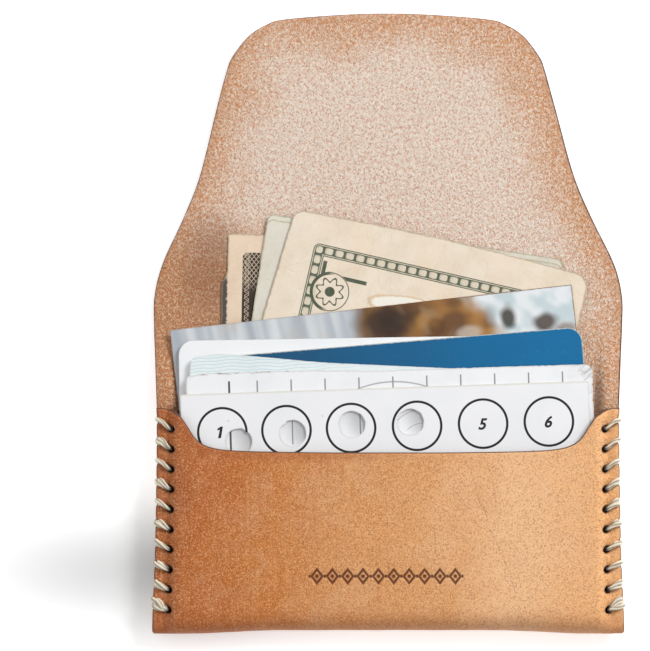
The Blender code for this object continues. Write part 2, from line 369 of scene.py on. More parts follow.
# ---------------------------------------------------------------- materials
class Value:
    """A number or colour that a material's nodes work out; sums and products add nodes."""

    def __init__(self, paint, socket):
        self.paint, self.socket = paint, socket

    def __add__(self, other):
        return self.paint.math("ADD", self, other)

    def __sub__(self, other):
        return self.paint.math("SUBTRACT", self, other)

    def __rsub__(self, other):
        return self.paint.math("SUBTRACT", other, self)

    def __mul__(self, other):
        return self.paint.math("MULTIPLY", self, other)

    __radd__, __rmul__ = __add__, __mul__


class Paint:
    """A procedural material, with helpers that add nodes.  colour is its colour so far."""

    def __init__(self, name, roughness=0.6, sheen=0.0, specular=0.5):
        self.material = bpy.data.materials.new(name)
        self.material.use_nodes = True
        self.tree = self.material.node_tree
        self.shader = self.tree.nodes["Principled BSDF"]
        self.shader.inputs["Roughness"].default_value = roughness
        self.shader.inputs["Sheen Weight"].default_value = sheen
        self.shader.inputs["Specular IOR Level"].default_value = specular
        self.colour = None
        self.at = self.read("mm", "Vector")
        split = self.node("ShaderNodeSeparateXYZ", {"Vector": self.at})
        self.x, self.y, self.z = (Value(self, socket) for socket in split.outputs[:3])

    def node(self, kind, inputs, **settings):
        made = self.tree.nodes.new(kind)
        for key, value in settings.items():
            setattr(made, key, value)
        for key, value in inputs.items():
            socket = made.inputs[key]
            if isinstance(value, Value):
                self.tree.links.new(value.socket, socket)
            elif socket.type == "RGBA":
                socket.default_value = (*value, 1.0)
            else:
                socket.default_value = value
        return made

    def value(self, kind, inputs, output=0, **settings):
        return Value(self, self.node(kind, inputs, **settings).outputs[output])

    def read(self, label, output="Fac"):
        return self.value("ShaderNodeAttribute", {}, output, attribute_name=label)

    def math(self, operation, a, b=0.0):
        return self.value("ShaderNodeMath", {0: a, 1: b}, operation=operation)

    def most(self, *values):
        total = values[0]
        for value in values[1:]:
            total = self.math("MAXIMUM", total, value)
        return total

    def fade(self, value, low, high):
        """0 below low and 1 above high, or the other way round if high is the smaller."""
        return self.value("ShaderNodeMapRange", {0: value, 1: low, 2: high, 3: 0.0, 4: 1.0},
                          interpolation_type="SMOOTHSTEP")

    def scaled(self, size, turn=0.0):
        """The coordinates divided by size, in mm for each axis or for all, turned about Z."""
        size = size if isinstance(size, tuple) else (size, size, size)
        return self.value("ShaderNodeMapping", {"Vector": self.at, "Scale": size,
                                                "Rotation": (0.0, 0.0, turn)},
                          vector_type="TEXTURE")

    def noise(self, size, detail=4.0, rough=0.5, turn=0.0, warp=0.0):
        return self.value("ShaderNodeTexNoise", {
            "Vector": self.scaled(size, turn), "Scale": 1.0, "Detail": detail,
            "Roughness": rough, "Distortion": warp}, "Fac")

    def cells(self, size):
        return self.value("ShaderNodeTexVoronoi", {"Vector": self.scaled(size), "Scale": 1.0},
                          "Distance", feature="F1")

    def mix(self, share, a, b):
        return self.value("ShaderNodeMix", {0: share, 6: a, 7: b}, 2, data_type="RGBA")

    def lay(self, share, tint):
        """Mix a share of a tint into the colour so far."""
        self.colour = self.mix(share, self.colour, tint)

    def ramp(self, value, low, high, stops):
        """Colour by value, with stops given as (value, colour) between low and high."""
        share = self.value("ShaderNodeMapRange", {0: value, 1: low, 2: high})
        made = self.node("ShaderNodeValToRGB", {"Fac": share})
        marks = made.color_ramp.elements
        while len(marks) < len(stops):
            marks.new(0.5)
        for mark, (at, colour) in zip(marks, stops):
            mark.position = (at - low) / (high - low)
            mark.color = (*colour, 1.0)
        return Value(self, made.outputs[0])

    def away_from(self, cx, cy, wide=1.0, tall=1.0):
        """Distance from a point, in half-widths of an ellipse about it."""
        dx = (self.x - cx) * (1.0 / wide)
        dy = (self.y - cy) * (1.0 / tall)
        return self.math("SQRT", dx * dx + dy * dy)

    def stroke(self, start, end, half, soft=0.1, wobble=None, taper=3.0):
        """1 near the straight line between two points, fading out at its ends."""
        dx, dy = end[0] - start[0], end[1] - start[1]
        size = math.hypot(dx, dy)
        x, y = self.x - start[0], self.y - start[1]
        along = x * (dx / size) + y * (dy / size)
        across = x * (-dy / size) + y * (dx / size)
        if wobble is not None:
            across = across + wobble
        ends = self.fade(along, 0.0, taper) * self.fade(along, size, size - taper)
        return self.band(across, 0.0, half, soft) * ends

    def band(self, value, centre, half, soft=0.04):
        """1 where value is within half of centre."""
        away = self.math("ABSOLUTE", value - centre)
        return self.fade(away, half + soft, half - soft)

    def ring(self, cx, cy, radius, half, soft=0.05):
        """1 near a circle."""
        return self.band(self.away_from(cx, cy), radius, half, soft)

    def link(self, value, label):
        """Let a value drive one of the shader's inputs."""
        self.tree.links.new(value.socket, self.shader.inputs[label])

    def finish(self, rough=None, height=None, depth=0.1, strength=1.0):
        self.link(self.colour, "Base Color")
        if rough is not None:
            self.link(rough, "Roughness")
        if height is not None:
            self.link(self.value("ShaderNodeBump", {"Height": height, "Distance": depth * MM,
                                                    "Strength": strength}), "Normal")
        return self.material


def srgb(r, g, b):
    """A display colour (0 to 255) as the linear one that nodes use."""
    def linear(v):
        v /= 255
        return v / 12.92 if v <= 0.04045 else ((v + 0.055) / 1.055) ** 2.4
    return linear(r), linear(g), linear(b)


EDGE_DARK = srgb(84, 60, 48)
EDGE_WARM = srgb(104, 66, 42)

# drawn-up creases of the pocket's front: from, to and half-width
CREASES = (
    ((-43.9, 40.0), (-43.4, 7.0), 0.14), ((-42.9, 34.0), (-42.6, 12.0), 0.10),
    ((-34.2, 22.0), (-33.0, 3.0), 0.14), ((-32.4, 16.0), (-31.8, 5.0), 0.12),
    ((-18.4, 27.0), (-18.0, 10.0), 0.10), ((-10.6, 21.0), (-10.1, 2.0), 0.12),
    ((-0.6, 33.0), (0.3, 4.0), 0.10), ((9.8, 26.0), (10.4, 3.0), 0.10),
    ((17.6, 33.5), (28.6, 5.5), 0.14), ((30.6, 19.0), (39.0, 3.5), 0.12),
    ((33.4, 27.0), (39.6, 32.5), 0.10), ((22.0, 36.0), (23.4, 22.0), 0.10),
)


def grain_leather():
    """Smooth vegetable-tanned grain side: mottled tan with scuffs, creases and a dark rim."""
    m = Paint("grain_leather", roughness=0.55, specular=0.35)
    rim, hole = m.read("rim"), m.read("hole")
    clouds = m.noise(22.0, 3.0, 0.55)
    mottle = m.noise((5.0, 7.0, 5.0), 6.0, 0.62, 0.3, 0.6)
    fine = m.noise(0.30, 2.0, 0.7)
    # darker and redder to the left, paler to the right: partly the hide's own tone, partly painted
    # light falling from the right
    across = m.x + (clouds - 0.5) * 26.0 + (mottle - 0.5) * 14.0
    m.colour = m.ramp(across, -54.0, 54.0, (
        (-52.0, srgb(178, 98, 48)), (-46.0, srgb(172, 90, 32)), (-40.0, srgb(182, 97, 32)),
        (-26.0, srgb(200, 121, 54)), (-12.0, srgb(213, 145, 86)), (10.0, srgb(224, 160, 102)),
        (28.0, srgb(243, 191, 142)), (48.0, srgb(239, 178, 119))))
    # painted shade along the drawn-up creases, which are also pressed in as bumps
    wander = (m.noise((3.0, 4.0, 3.0), 4.0, 0.65) - 0.5) * 1.6
    shaded_creases = m.most(*(m.stroke(a, b, half, 0.12, wander, 6.0) for a, b, half in CREASES))
    shaded_creases = shaded_creases * m.fade(m.noise(3.0, 3.0, 0.6, 0.3), 0.38, 0.56)
    m.lay(shaded_creases * 0.16, srgb(140, 74, 34))
    # hazy rubbed patches, curly pale fibres and short scratches
    haze = m.fade(m.noise((10.0, 8.0, 9.0), 5.0, 0.65, 0.9, 0.5), 0.47, 0.68)
    haze = haze * m.fade(m.x, -52.0, -22.0)
    m.lay(haze * 0.24, srgb(232, 184, 142))
    where = m.fade(m.noise(8.0, 3.0, 0.6, 1.1), 0.40, 0.60)
    curls = m.band(m.noise((1.7, 1.9, 1.7), 2.0, 0.6, 0.3, 1.6), 0.50, 0.010, 0.016)
    curls_two = m.band(m.noise((1.1, 1.2, 1.1), 2.0, 0.6, 1.3, 1.9), 0.46, 0.010, 0.016)
    scratch = m.band(m.noise((4.6, 0.8, 3.0), 2.0, 0.5, 0.5, 0.8), 0.5, 0.008, 0.014)
    scratch = scratch * m.fade(m.noise(9.0, 2.0, 0.5, 2.0), 0.5, 0.6)
    pale = m.most(m.most(curls, curls_two * 0.8) * (where * 0.17 + 0.07), scratch * 0.26)
    m.lay(pale, srgb(246, 216, 184))
    # the speckle of the grain itself
    local = m.colour
    m.lay(m.fade(fine, 0.5, 0.66) * 0.8, m.mix(0.66, local, srgb(140, 66, 24)))
    m.lay(m.fade(fine, 0.49, 0.33) * 0.8, m.mix(0.5, local, srgb(255, 208, 152)))
    # faint upright drawn lines, mostly over the left half
    drawing = m.noise((0.9, 26.0, 4.0), 3.0, 0.6, 0.0, 0.2)
    reach = m.fade(m.noise(9.0, 2.0, 0.5, 0.7), 0.4, 0.62) * m.fade(m.x, 12.0, -18.0)
    upright = m.fade(drawing, 0.54, 0.68) * reach
    m.lay(upright * 0.26, srgb(238, 176, 122))
    m.lay(m.fade(drawing, 0.46, 0.32) * reach * 0.24, srgb(160, 86, 40))
    # painted shade, darker towards the bottom where the fold rolls away from the light
    low = m.fade(m.y + mottle * 6.0, 9.5, 3.0)
    m.lay(low * 0.42, srgb(152, 78, 36))
    # handled and burnished towards the cut rim and under the threads; painted shade round the
    # stitch holes
    near = m.fade(rim + mottle * 1.6, 3.6, 1.0)
    m.lay(near * 0.08, srgb(156, 84, 40))
    lip = m.fade(m.y, 30.0, 35.0) * m.fade(m.x, 12.0, -16.0)
    m.lay(near * lip * 0.36, srgb(152, 74, 26))
    m.lay(m.fade(rim + fine * 0.35, 0.48, 0.26), EDGE_DARK)
    # painted shade round the mouths of the stitch holes
    m.lay(m.fade(hole, 0.4, 0.05) * 0.7, srgb(84, 46, 28))
    pressed = m.read("press")
    m.lay(m.fade(pressed, 0.1, 1.0) * 0.92, srgb(96, 44, 18))
    rough = 0.46 + mottle * 0.16 + pale * 0.3
    pores = m.cells(0.42)
    height = fine * 0.9 + pores * 0.35 + mottle * 0.9 - shaded_creases * 1.2 - pressed * 1.2 + curls * 0.3
    return m.finish(rough, height, 0.10, 0.8)


def flesh_leather():
    """Napped flesh side: short pale and dark fibres in every direction over pinkish tan."""
    m = Paint("flesh_leather", roughness=0.92, sheen=0.15, specular=0.2)
    rim = m.read("rim")
    clouds = m.noise(16.0, 3.0, 0.6)
    blotch = m.noise(3.0, 5.0, 0.65, 0.4, 0.4)
    uneven = clouds + blotch * 0.6 - 0.8
    pale = dark = None
    for turn, seed in ((0.35, 0.0), (-0.45, 3.1), (0.95, 7.7), (-1.1, 11.3)):
        strand = m.noise((0.27, 0.90, 0.5 + 0.1 * seed), 1.0, 0.5, turn, 0.15)
        lit, deep = m.fade(strand, 0.58, 0.66), m.fade(strand, 0.41, 0.33)
        pale = lit if pale is None else m.most(pale, lit)
        dark = deep if dark is None else m.most(dark, deep)
    speck = m.fade(m.noise(0.30, 2.0, 0.7), 0.53, 0.64)
    # palest in the middle of the flap, browner towards its sides and down by the crease
    side = m.fade(rim + uneven * 16.0, 14.0, 1.0)
    m.colour = m.mix(side, srgb(252, 228, 208), srgb(228, 172, 128))
    left = m.fade(m.y, 94.0, 76.0) * m.fade(m.x, -12.0, -30.0)
    m.lay(left * 0.85, srgb(192, 132, 86))
    lower = m.fade(m.y + uneven * 30.0, 84.0, 60.0) * m.fade(m.x, 30.0, -10.0)
    m.lay(lower * 0.35, srgb(200, 142, 100))
    local = m.colour
    m.lay(dark * 0.82, m.mix(0.74, local, srgb(202, 120, 70)))
    m.lay(speck * 0.6, m.mix(0.74, local, srgb(182, 98, 54)))
    brown = m.most(left, lower * 0.5, side * 0.3)
    tips = m.mix(brown, srgb(255, 245, 232), srgb(252, 216, 182))
    sheer = 0.94 - brown * 0.22
    m.lay(pale * sheer, m.mix(0.82, local, tips))
    # painted shadow cast by the notes on the flesh beside them
    beside = m.away_from(-38.5, 79.0, 8.5, 14.0) + uneven * 0.8
    m.lay(m.fade(beside, 1.15, 0.25) * 0.38, srgb(122, 72, 42))
    warm = m.fade(rim + blotch * 3.0, 4.4, 1.2)
    m.lay(warm * 0.26, srgb(196, 126, 78))
    rough_edge = rim + m.noise(1.4, 3.0, 0.7) * 0.42
    rough_edge = rough_edge - m.fade(m.x, 16.0, 40.0) * 0.16
    m.lay(m.fade(rough_edge, 0.46, 0.26), EDGE_DARK)
    height = pale - dark * 0.8 - speck * 0.5 + blotch * 0.6
    return m.finish(None, height, 0.16, 0.8)


def cut_edge():
    """Bevelled and burnished edge of the hide, with its pressed fibres."""
    m = Paint("burnished_edge", roughness=0.42)
    layers = m.noise((2.4, 2.4, 0.16), 4.0, 0.6)
    wear = m.noise(3.0, 4.0, 0.6)
    m.colour = m.mix(m.fade(wear, 0.40, 0.72), EDGE_DARK, EDGE_WARM)
    m.lay(m.fade(layers, 0.5, 0.7) * 0.4, srgb(128, 92, 66))
    rough = 0.36 + wear * 0.2
    return m.finish(rough, layers + wear * 0.7, 0.08, 0.8)


def waxed_thread():
    """Pale linen thread; each of its points knows its ply and its length along the thread."""
    m = Paint("waxed_thread", roughness=0.7, sheen=0.2, specular=0.3)
    ply = m.read("ply")
    soil = m.noise(2.4, 3.0, 0.6)
    hairs = m.noise((1.6, 0.10, 0.10), 3.0, 0.65)
    shade = m.fade(ply + hairs * 0.6, -1.1, 0.9)
    m.colour = m.mix(shade, srgb(140, 118, 90), srgb(234, 226, 206))
    m.lay(m.fade(soil, 0.48, 0.75) * 0.35, srgb(190, 170, 138))
    m.lay(m.fade(hairs, 0.54, 0.68) * 0.4, srgb(246, 242, 230))
    # painted shade where the thread sinks into a hole
    m.lay(m.read("sunk") * 0.9, srgb(46, 28, 18))
    return m.finish(None, hairs + ply * 0.2, 0.05, 0.8)


def paper(m, base, shade, size=6.0):
    """Lay a slightly uneven paper colour, and return its fibres as a height."""
    clouds = m.noise(size, 4.0, 0.6)
    fibre = m.noise((0.35, 0.12, 0.3), 3.0, 0.6, 0.6)
    m.colour = m.mix(m.fade(clouds, 0.35, 0.75), base, shade)
    return fibre * 0.6 + clouds * 0.6


def soiled_rim(m, tint, reach, share):
    """Lay a worn tint along a sheet's rim, about reach mm wide."""
    near = m.fade(m.read("rim") + m.noise(1.5, 4.0, 0.7) * reach, reach * 1.35, reach * 0.5)
    m.lay(near * share, tint)


PUNCH_CORNER, PUNCH_TILT, PUNCH_LOW, PUNCH_THICK = (-44.95, 51.2), 1.9, 5.52, 0.30
PUNCHED = ((-32.3, 41.1), (-20.7, 42.9), (-8.0, 44.8), (4.6, 45.3))
TICK_CORNER, TICK_TILT = (-43.75, 55.2), 1.7


def on_card(x, y, corner, tilt):
    """A point of the wallet in a card's own coordinates: right and down from its corner."""
    turn = math.radians(tilt)
    dx, dy = x - corner[0], y - corner[1]
    return (dx * math.cos(turn) + dy * math.sin(turn), dx * math.sin(turn) - dy * math.cos(turn))


EXPOSED = [on_card(x, y, TICK_CORNER, TICK_TILT) for x, y in PUNCHED]
RINGS = tuple((x, 8.4) for x in (8.8, 22.6, 36.5, 50.7, 64.9, 79.05))
RING_R = 5.2


def punch_paint():
    m = Paint("punch_card_print", roughness=0.6, specular=0.3)
    height = paper(m, srgb(240, 240, 242), srgb(234, 235, 237), 14.0)
    specks = m.fade(m.cells(5.3), 0.045, 0.03) * m.fade(m.noise(9.0, 2.0), 0.5, 0.6)
    m.lay(specks * 0.5, srgb(170, 140, 110))
    soiled_rim(m, srgb(208, 205, 196), 0.4, 0.6)
    m.lay(m.fade(m.y, 0.5, 0.22) * 0.45, srgb(224, 220, 200))
    ink = m.most(*(m.ring(cx, cy, RING_R, 0.26) for cx, cy in RINGS))
    patchy = m.fade(m.noise(0.35, 3.0, 0.6), 0.2, 0.42)
    m.lay(ink * (0.84 + patchy * 0.15), srgb(18, 14, 18))
    return m.finish(None, height, 0.02, 0.5)


def ink_paint():
    m = Paint("printed_ink", roughness=0.5)
    grain = m.noise(0.3, 3.0, 0.6)
    m.colour = m.mix(m.fade(grain, 0.4, 0.8), srgb(24, 22, 24), srgb(48, 46, 48))
    return m.finish(None, grain, 0.01, 0.4)


def tick_paint():
    m = Paint("tick_card_print", roughness=0.65, specular=0.3)
    height = paper(m, srgb(241, 242, 244), srgb(234, 235, 238), 10.0)
    # painted shade where the punched holes above let it show, darker towards their upper right
    # rims
    for cx, cy in EXPOSED:
        away = m.away_from(cx, cy, 3.2, 3.2)
        shadow_slant = (m.x - cx) * 0.8 + (cy - m.y) * 0.45
        grime_and_shade = m.fade(away, 1.0, 0.75) * m.fade(shadow_slant, -2.4, 3.0)
        m.lay(grime_and_shade * 0.62, srgb(126, 126, 130))
    soiled_rim(m, srgb(196, 190, 182), 0.5, 0.5)
    # a scale of short strokes along the top edge, the first one bold, and a second scale below
    spread = m.math("PINGPONG", m.x - 15.3, 3.65)
    stroke = m.fade(spread, 0.20, 0.10)
    row = m.fade(m.y, 1.35, 1.5) * m.fade(m.y, 4.05, 3.9)
    span = m.fade(m.x, 14.6, 14.8) * m.fade(m.x, 82.6, 82.4)
    bold = m.band(m.x, 9.25, 0.22, 0.05) * m.most(row, m.band(m.y, 15.5, 4.0, 0.1))
    ticks = stroke * row * span
    low_row = m.fade(spread, 0.17, 0.08) * m.band(m.y, 11.9, 3.5, 0.1) * span
    arc = m.ring(44.45, 24.35, 21.8, 0.15, 0.1) * m.fade(m.y, 6.0, 5.2)
    curve = m.most(m.ring(50.5, 16.0, 7.3, 0.08, 0.06), m.ring(50.9, 17.0, 5.4, 0.07, 0.06))
    curve = curve * m.fade(m.y, 13.5, 12.5)
    m.lay(m.most(ticks, arc * 0.75, low_row, curve * 0.7) * 0.8, srgb(92, 92, 96))
    m.lay(bold * 0.92, srgb(34, 34, 36))
    # dirt along the left part of its top edge
    dirt = m.fade(m.noise((2.6, 0.5, 1.0), 3.0, 0.6), 0.52, 0.62) * m.fade(m.y, 0.12, -0.2)
    dirt = dirt * (m.fade(m.x, 1.0, 4.0) * m.fade(m.x, 27.0, 20.0))
    m.lay(dirt * 0.6, srgb(120, 106, 96))
    # rubbed and creased at the top right corner
    corner = m.fade(m.x, 81.0, 87.5) * m.fade(m.y, 9.0, 0.5)
    crease = m.fade(m.noise((0.9, 2.4, 1.0), 4.0, 0.7, 0.9, 1.0), 0.46, 0.62)
    m.lay(corner * crease * 0.7, srgb(170, 166, 160))
    height = height + corner * crease * 2.0
    return m.finish(None, height, 0.04, 0.7)


def ticket_paint():
    m = Paint("ticket_print", roughness=0.7, specular=0.3)
    height = paper(m, srgb(235, 240, 241), srgb(226, 233, 235), 8.0)
    swing = m.math("SINE", m.x * 0.9) * 0.3
    swing = swing + m.math("SINE", m.x * 0.23) * 0.6
    line = m.math("PINGPONG", m.y + swing * 0.4 + m.x * 0.1, 0.36)
    cross = m.math("PINGPONG", m.y - swing * 0.8 - m.x * 0.3, 0.46)
    lines = m.most(m.fade(line, 0.16, 0.05), m.fade(cross, 0.14, 0.05) * 0.35)
    shown = m.fade(m.x, 40.0, 16.0)
    m.lay(lines * (0.35 + shown * 0.65) * 0.62, srgb(176, 214, 218))
    soiled_rim(m, srgb(196, 192, 186), 0.3, 0.35)
    return m.finish(None, height, 0.03, 0.6)


def blue_paint():
    m = Paint("blue_card_print", roughness=0.42, specular=0.3)
    clouds = m.noise(22.0, 2.0, 0.5)
    across = m.fade(m.x, 0.0, 84.0)
    tone = across * 0.8 + clouds * 0.4 - 0.2
    m.colour = m.mix(m.fade(tone, 0.0, 1.0), srgb(24, 80, 118), srgb(8, 110, 162))
    dust = m.fade(m.cells(4.6), 0.05, 0.03) * m.fade(m.noise(6.0, 2.0), 0.45, 0.6)
    m.lay(dust * 0.6, srgb(150, 186, 206))
    scuffs = m.fade(m.noise((3.5, 0.30, 1.0), 4.0, 0.7, 0.25, 0.7), 0.60, 0.72)
    rubbed = m.fade(m.noise(0.8, 4.0, 0.7), 0.6, 0.7) * m.fade(m.x, 66.0, 76.0)
    m.lay(scuffs * 0.1 + rubbed * 0.22, srgb(120, 160, 190))
    rim = m.read("rim")
    worn = m.fade(rim + m.noise(0.8, 4.0, 0.75) * 0.55, 0.54, 0.34)
    m.lay(worn * 0.85, srgb(196, 194, 178))
    rough = 0.36 + m.noise(2.0, 4.0) * 0.16 + worn * 0.3
    return m.finish(rough, m.noise(0.5, 3.0) - scuffs, 0.012, 0.5)


def white_paint():
    m = Paint("white_card_print", roughness=0.42, specular=0.3)
    clouds = m.noise(20.0, 3.0, 0.5)
    m.colour = m.mix(m.fade(clouds, 0.3, 0.8), srgb(243, 244, 246), srgb(236, 238, 241))
    scuffs = m.fade(m.noise((4.0, 0.30, 1.0), 4.0, 0.7, 0.15, 0.6), 0.60, 0.72)
    m.lay(scuffs * 0.1, srgb(200, 200, 204))
    soiled_rim(m, srgb(196, 195, 192), 0.3, 0.7)
    rough = 0.34 + m.noise(2.4, 4.0) * 0.16
    return m.finish(rough, m.noise(0.6, 3.0), 0.01, 0.5)


def plastic_core():
    m = Paint("card_core", roughness=0.5)
    layers = m.noise((2.0, 2.0, 0.25), 3.0, 0.6)
    m.colour = m.mix(m.fade(layers, 0.35, 0.7), srgb(226, 226, 224), srgb(188, 186, 182))
    return m.finish(None, layers, 0.02, 0.5)


# the photo print's blurred spots: centre and half-widths, strength, colour
BLURS = (
    ((46.5, 4.0, 7.6, 5.2), 0.92, (52, 40, 36)), ((57.0, 5.6, 2.4, 2.6), 0.5, (76, 50, 30)),
    ((43.0, 8.5, 5.0, 3.0), 0.7, (88, 62, 46)), ((64.0, 8.0, 3.4, 2.0), 0.6, (206, 196, 184)),
    ((72.8, 5.4, 2.2, 3.0), 0.92, (52, 48, 34)), ((80.6, 7.4, 3.2, 2.3), 0.9, (66, 46, 32)),
    ((85.0, 9.4, 2.6, 1.8), 0.7, (128, 100, 84)),
)


def photo_paint():
    """An out-of-focus abstract: cool stems, a dark warm middle and a pale right side."""
    m = Paint("photo_print_face", roughness=0.32, specular=0.35)
    stems = m.noise((2.6, 30.0, 5.0), 1.0, 0.4, -0.12)
    wide = m.noise((8.0, 6.0, 5.0), 1.5, 0.4)
    soft = m.noise((4.4, 3.6, 5.0), 1.0, 0.4, 0.8)
    sway = (soft - 0.5) * 2.4
    m.colour = m.mix(m.fade(stems, 0.25, 0.75), srgb(170, 178, 186), srgb(214, 218, 220))
    # painted shadow of the white card's edge on the print, deeper downwards
    beside = m.fade(m.y, 8.0, 24.0) * m.fade(m.x, 6.0, 2.0)
    m.lay(beside * 0.8, srgb(84, 86, 94))
    m.lay(m.fade(wide, 0.5, 0.68) * 0.55, srgb(196, 186, 178))
    m.lay(m.fade(m.x, 5.0, 0.0) * 0.4, srgb(160, 166, 176))
    warm = m.mix(m.fade(wide, 0.40, 0.64), srgb(112, 78, 50), srgb(170, 122, 66))
    warm = m.mix(m.fade(soft, 0.52, 0.7) * 0.5, warm, srgb(150, 128, 96))
    m.lay(m.fade(m.x + sway * 1.2, 38.6, 42.6), warm)
    pale = m.mix(m.fade(soft, 0.36, 0.62), srgb(196, 210, 214), srgb(228, 232, 234))
    m.lay(m.fade(m.x + sway * 2.2 - m.y * 0.7, 62.5, 67.5), pale)
    for ellipse, share, tint in BLURS:
        away = m.away_from(*ellipse) + sway * 0.22
        m.lay(m.fade(away, 1.15, 0.45) * share, srgb(*tint))
    rim = m.read("rim")
    worn = m.fade(rim + m.noise(0.7, 4.0, 0.7) * 0.4, 0.5, 0.26)
    m.lay(worn * (0.25 + m.fade(m.x, 34.0, 46.0) * 0.6), srgb(128, 84, 56))
    rough = 0.3 + m.noise(3.0, 3.0) * 0.12
    return m.finish(rough, m.noise(0.7, 3.0), 0.01, 0.4)


def photo_back():
    m = Paint("photo_print_back", roughness=0.8)
    height = paper(m, srgb(206, 196, 184), srgb(188, 176, 164))
    return m.finish(None, height, 0.03, 0.6)


def note_paint(name, base, shade, tint, ornament):
    """Used bank-note stock: faint laid lines, soft creases and a generic printed ornament."""
    m = Paint(name, roughness=0.85, specular=0.25)
    height = paper(m, base, shade, 7.0)
    haze = m.fade(m.noise(11.0, 4.0, 0.6, 0.4), 0.42, 0.74)
    m.lay(haze * 0.45, tint)
    grime_and_shade = m.fade(m.noise(0.7, 4.0, 0.75), 0.50, 0.72)
    m.lay(grime_and_shade * 0.14, srgb(150, 132, 104))
    folds = m.band(m.noise((9.0, 14.0, 5.0), 2.0, 0.5, 0.4, 0.5), 0.5, 0.004, 0.010)
    m.lay(folds * 0.05, srgb(150, 132, 98))
    ornament(m)
    soiled_rim(m, srgb(158, 138, 108), 0.5, 0.6)
    height = height - folds * 1.5
    return m.finish(None, height, 0.04, 0.8)


def cell_border(m):
    """A double-line frame filled with cells, with a plain rosette set into its corner."""
    left, top, wide = 5.75, 5.95, 2.55
    across = m.x - left
    down = m.y - top
    depth = m.math("MINIMUM", across, down)
    # the outer corner of the frame is rounded
    cut_x, cut_y = (1.3 - across, 1.3 - down)
    cut = m.math("SQRT", cut_x * cut_x + cut_y * cut_y)
    in_corner = m.fade(cut_x, 0.0, 0.01) * m.fade(cut_y, 0.0, 0.01)
    depth = depth * (1.0 - in_corner) + (1.3 - cut) * in_corner
    along = m.math("MAXIMUM", across, down)
    inside_band = m.fade(depth, -0.06, 0.04) * m.fade(depth, wide + 0.06, wide - 0.04)
    inside_band = inside_band * m.fade(m.x, 60.6, 60.0)
    lines = m.most(m.band(depth, 0.12, 0.1, 0.06), m.band(depth, wide - 0.12, 0.1, 0.06),
                   m.band(depth, 0.46, 0.07, 0.05) * 0.9,
                   m.band(depth, wide - 0.46, 0.07, 0.05) * 0.9)
    beat = m.math("PINGPONG", along, 1.15)
    # rounded cells: 0 in the middle of a cell, 1 at its border
    half_cell = 1.15 - beat
    off_middle = m.math("ABSOLUTE", depth - wide / 2)
    square = m.math("POWER", m.math("POWER", half_cell * (1 / 1.08), 4.0)
                    + m.math("POWER", off_middle * (1 / 0.84), 4.0), 0.25)
    border = m.fade(square, 0.74, 0.86) * m.fade(off_middle, 0.92, 0.84)
    shade = m.fade(square, 0.35, 0.7) * m.fade(m.math("SINE", along * 2.73), -0.4, 0.8)
    ink = m.most(lines, border * 0.95, shade * 0.22) * inside_band
    wash = inside_band * 0.2
    # the rosette, with a heavy arc on its left, in the corner
    away = m.away_from(11.25, 15.65)
    dx, dy = (m.x - 11.25, m.y - 15.65)
    spin = m.math("ARCTAN2", dy, dx)
    petal = 2.55 + m.math("SINE", spin * 8.0) * 0.5
    disc = m.fade(away, 4.3, 4.2)
    bracket = m.most(m.stroke((8.9, 9.2), (8.9, 14.6), 0.42, 0.06, None, 0.3),
                     m.stroke((12.6, 12.2), (18.8, 12.2), 0.42, 0.06, None, 0.4))
    ink = m.most(ink, bracket) * (1.0 - disc)
    heavy = m.band(away, 4.0, 0.34, 0.06) * m.fade(dx, 0.6, -1.4)
    rosette = m.most(m.band(away, 4.1, 0.1, 0.05), heavy,
                     m.fade(m.math("ABSOLUTE", away - petal), 0.26, 0.14), m.fade(away, 1.15, 1.0))
    patch = m.away_from(29.5, 15.6, 9.5, 2.6) + m.noise(2.0, 3.0) * 0.3
    m.lay(m.band(patch, 1.15, 0.05, 0.06) * 0.5, srgb(206, 160, 104))
    m.lay(m.fade(patch, 1.12, 1.02), srgb(240, 236, 224))
    m.lay(wash, srgb(150, 160, 132))
    worn = 0.8 + m.noise(0.8, 3.0, 0.7) * 0.2
    m.lay(m.most(ink, rosette) * worn, srgb(34, 62, 42))


def plain_rim(m):
    """Only the unprinted margin and a faint fine frame."""
    frame_line = m.band(m.math("MINIMUM", m.x, m.y), 5.2, 0.10, 0.06)
    m.lay(frame_line * 0.35, srgb(120, 132, 104))


def lattice_band(m):
    """A dark upright band of crossed lines, as an engraved note margin has."""
    across = m.x - 3.3
    down = m.y - 4.0
    corner = m.fade(across + down, 0.55, 0.85)
    body = m.fade(across, -0.05, 0.05) * m.fade(down, -0.05, 0.05) * corner
    body = body * m.fade(across, 3.9, 3.7)
    one = m.fade(m.math("PINGPONG", m.x + m.y * 0.8, 0.48), 0.13, 0.04)
    two = m.fade(m.math("PINGPONG", m.x - m.y * 0.8, 0.48), 0.13, 0.04)
    net = m.most(one, two) * m.fade(m.y, 13.0, 9.5)
    curl = m.math("SINE", m.y * 4.2) * 0.42
    curl_two = m.math("SINE", m.y * 4.2 + 2.1) * 0.42
    curls = m.most(m.band(across + curl, 1.0, 0.09, 0.06),
                   m.band(across + curl_two, 1.0, 0.09, 0.06))
    pale = m.most(net, curls) * 0.75
    m.lay(body * 0.95, srgb(34, 26, 24))
    m.lay(body * pale, srgb(226, 206, 180))
    # a dark ragged strip along the left edge lower down
    ragged = m.x + (m.noise(0.9, 3.0, 0.7) - 0.5) * 1.3
    torn = m.fade(ragged, 0.25, -0.1) * m.fade(m.y, 8.0, 10.5)
    m.lay(torn * 0.92, srgb(50, 50, 56))


SHADE = (-54.0, 13.2 - MID_Y, 60.0, 20.0)   # centre and half-widths of the shade on the floor


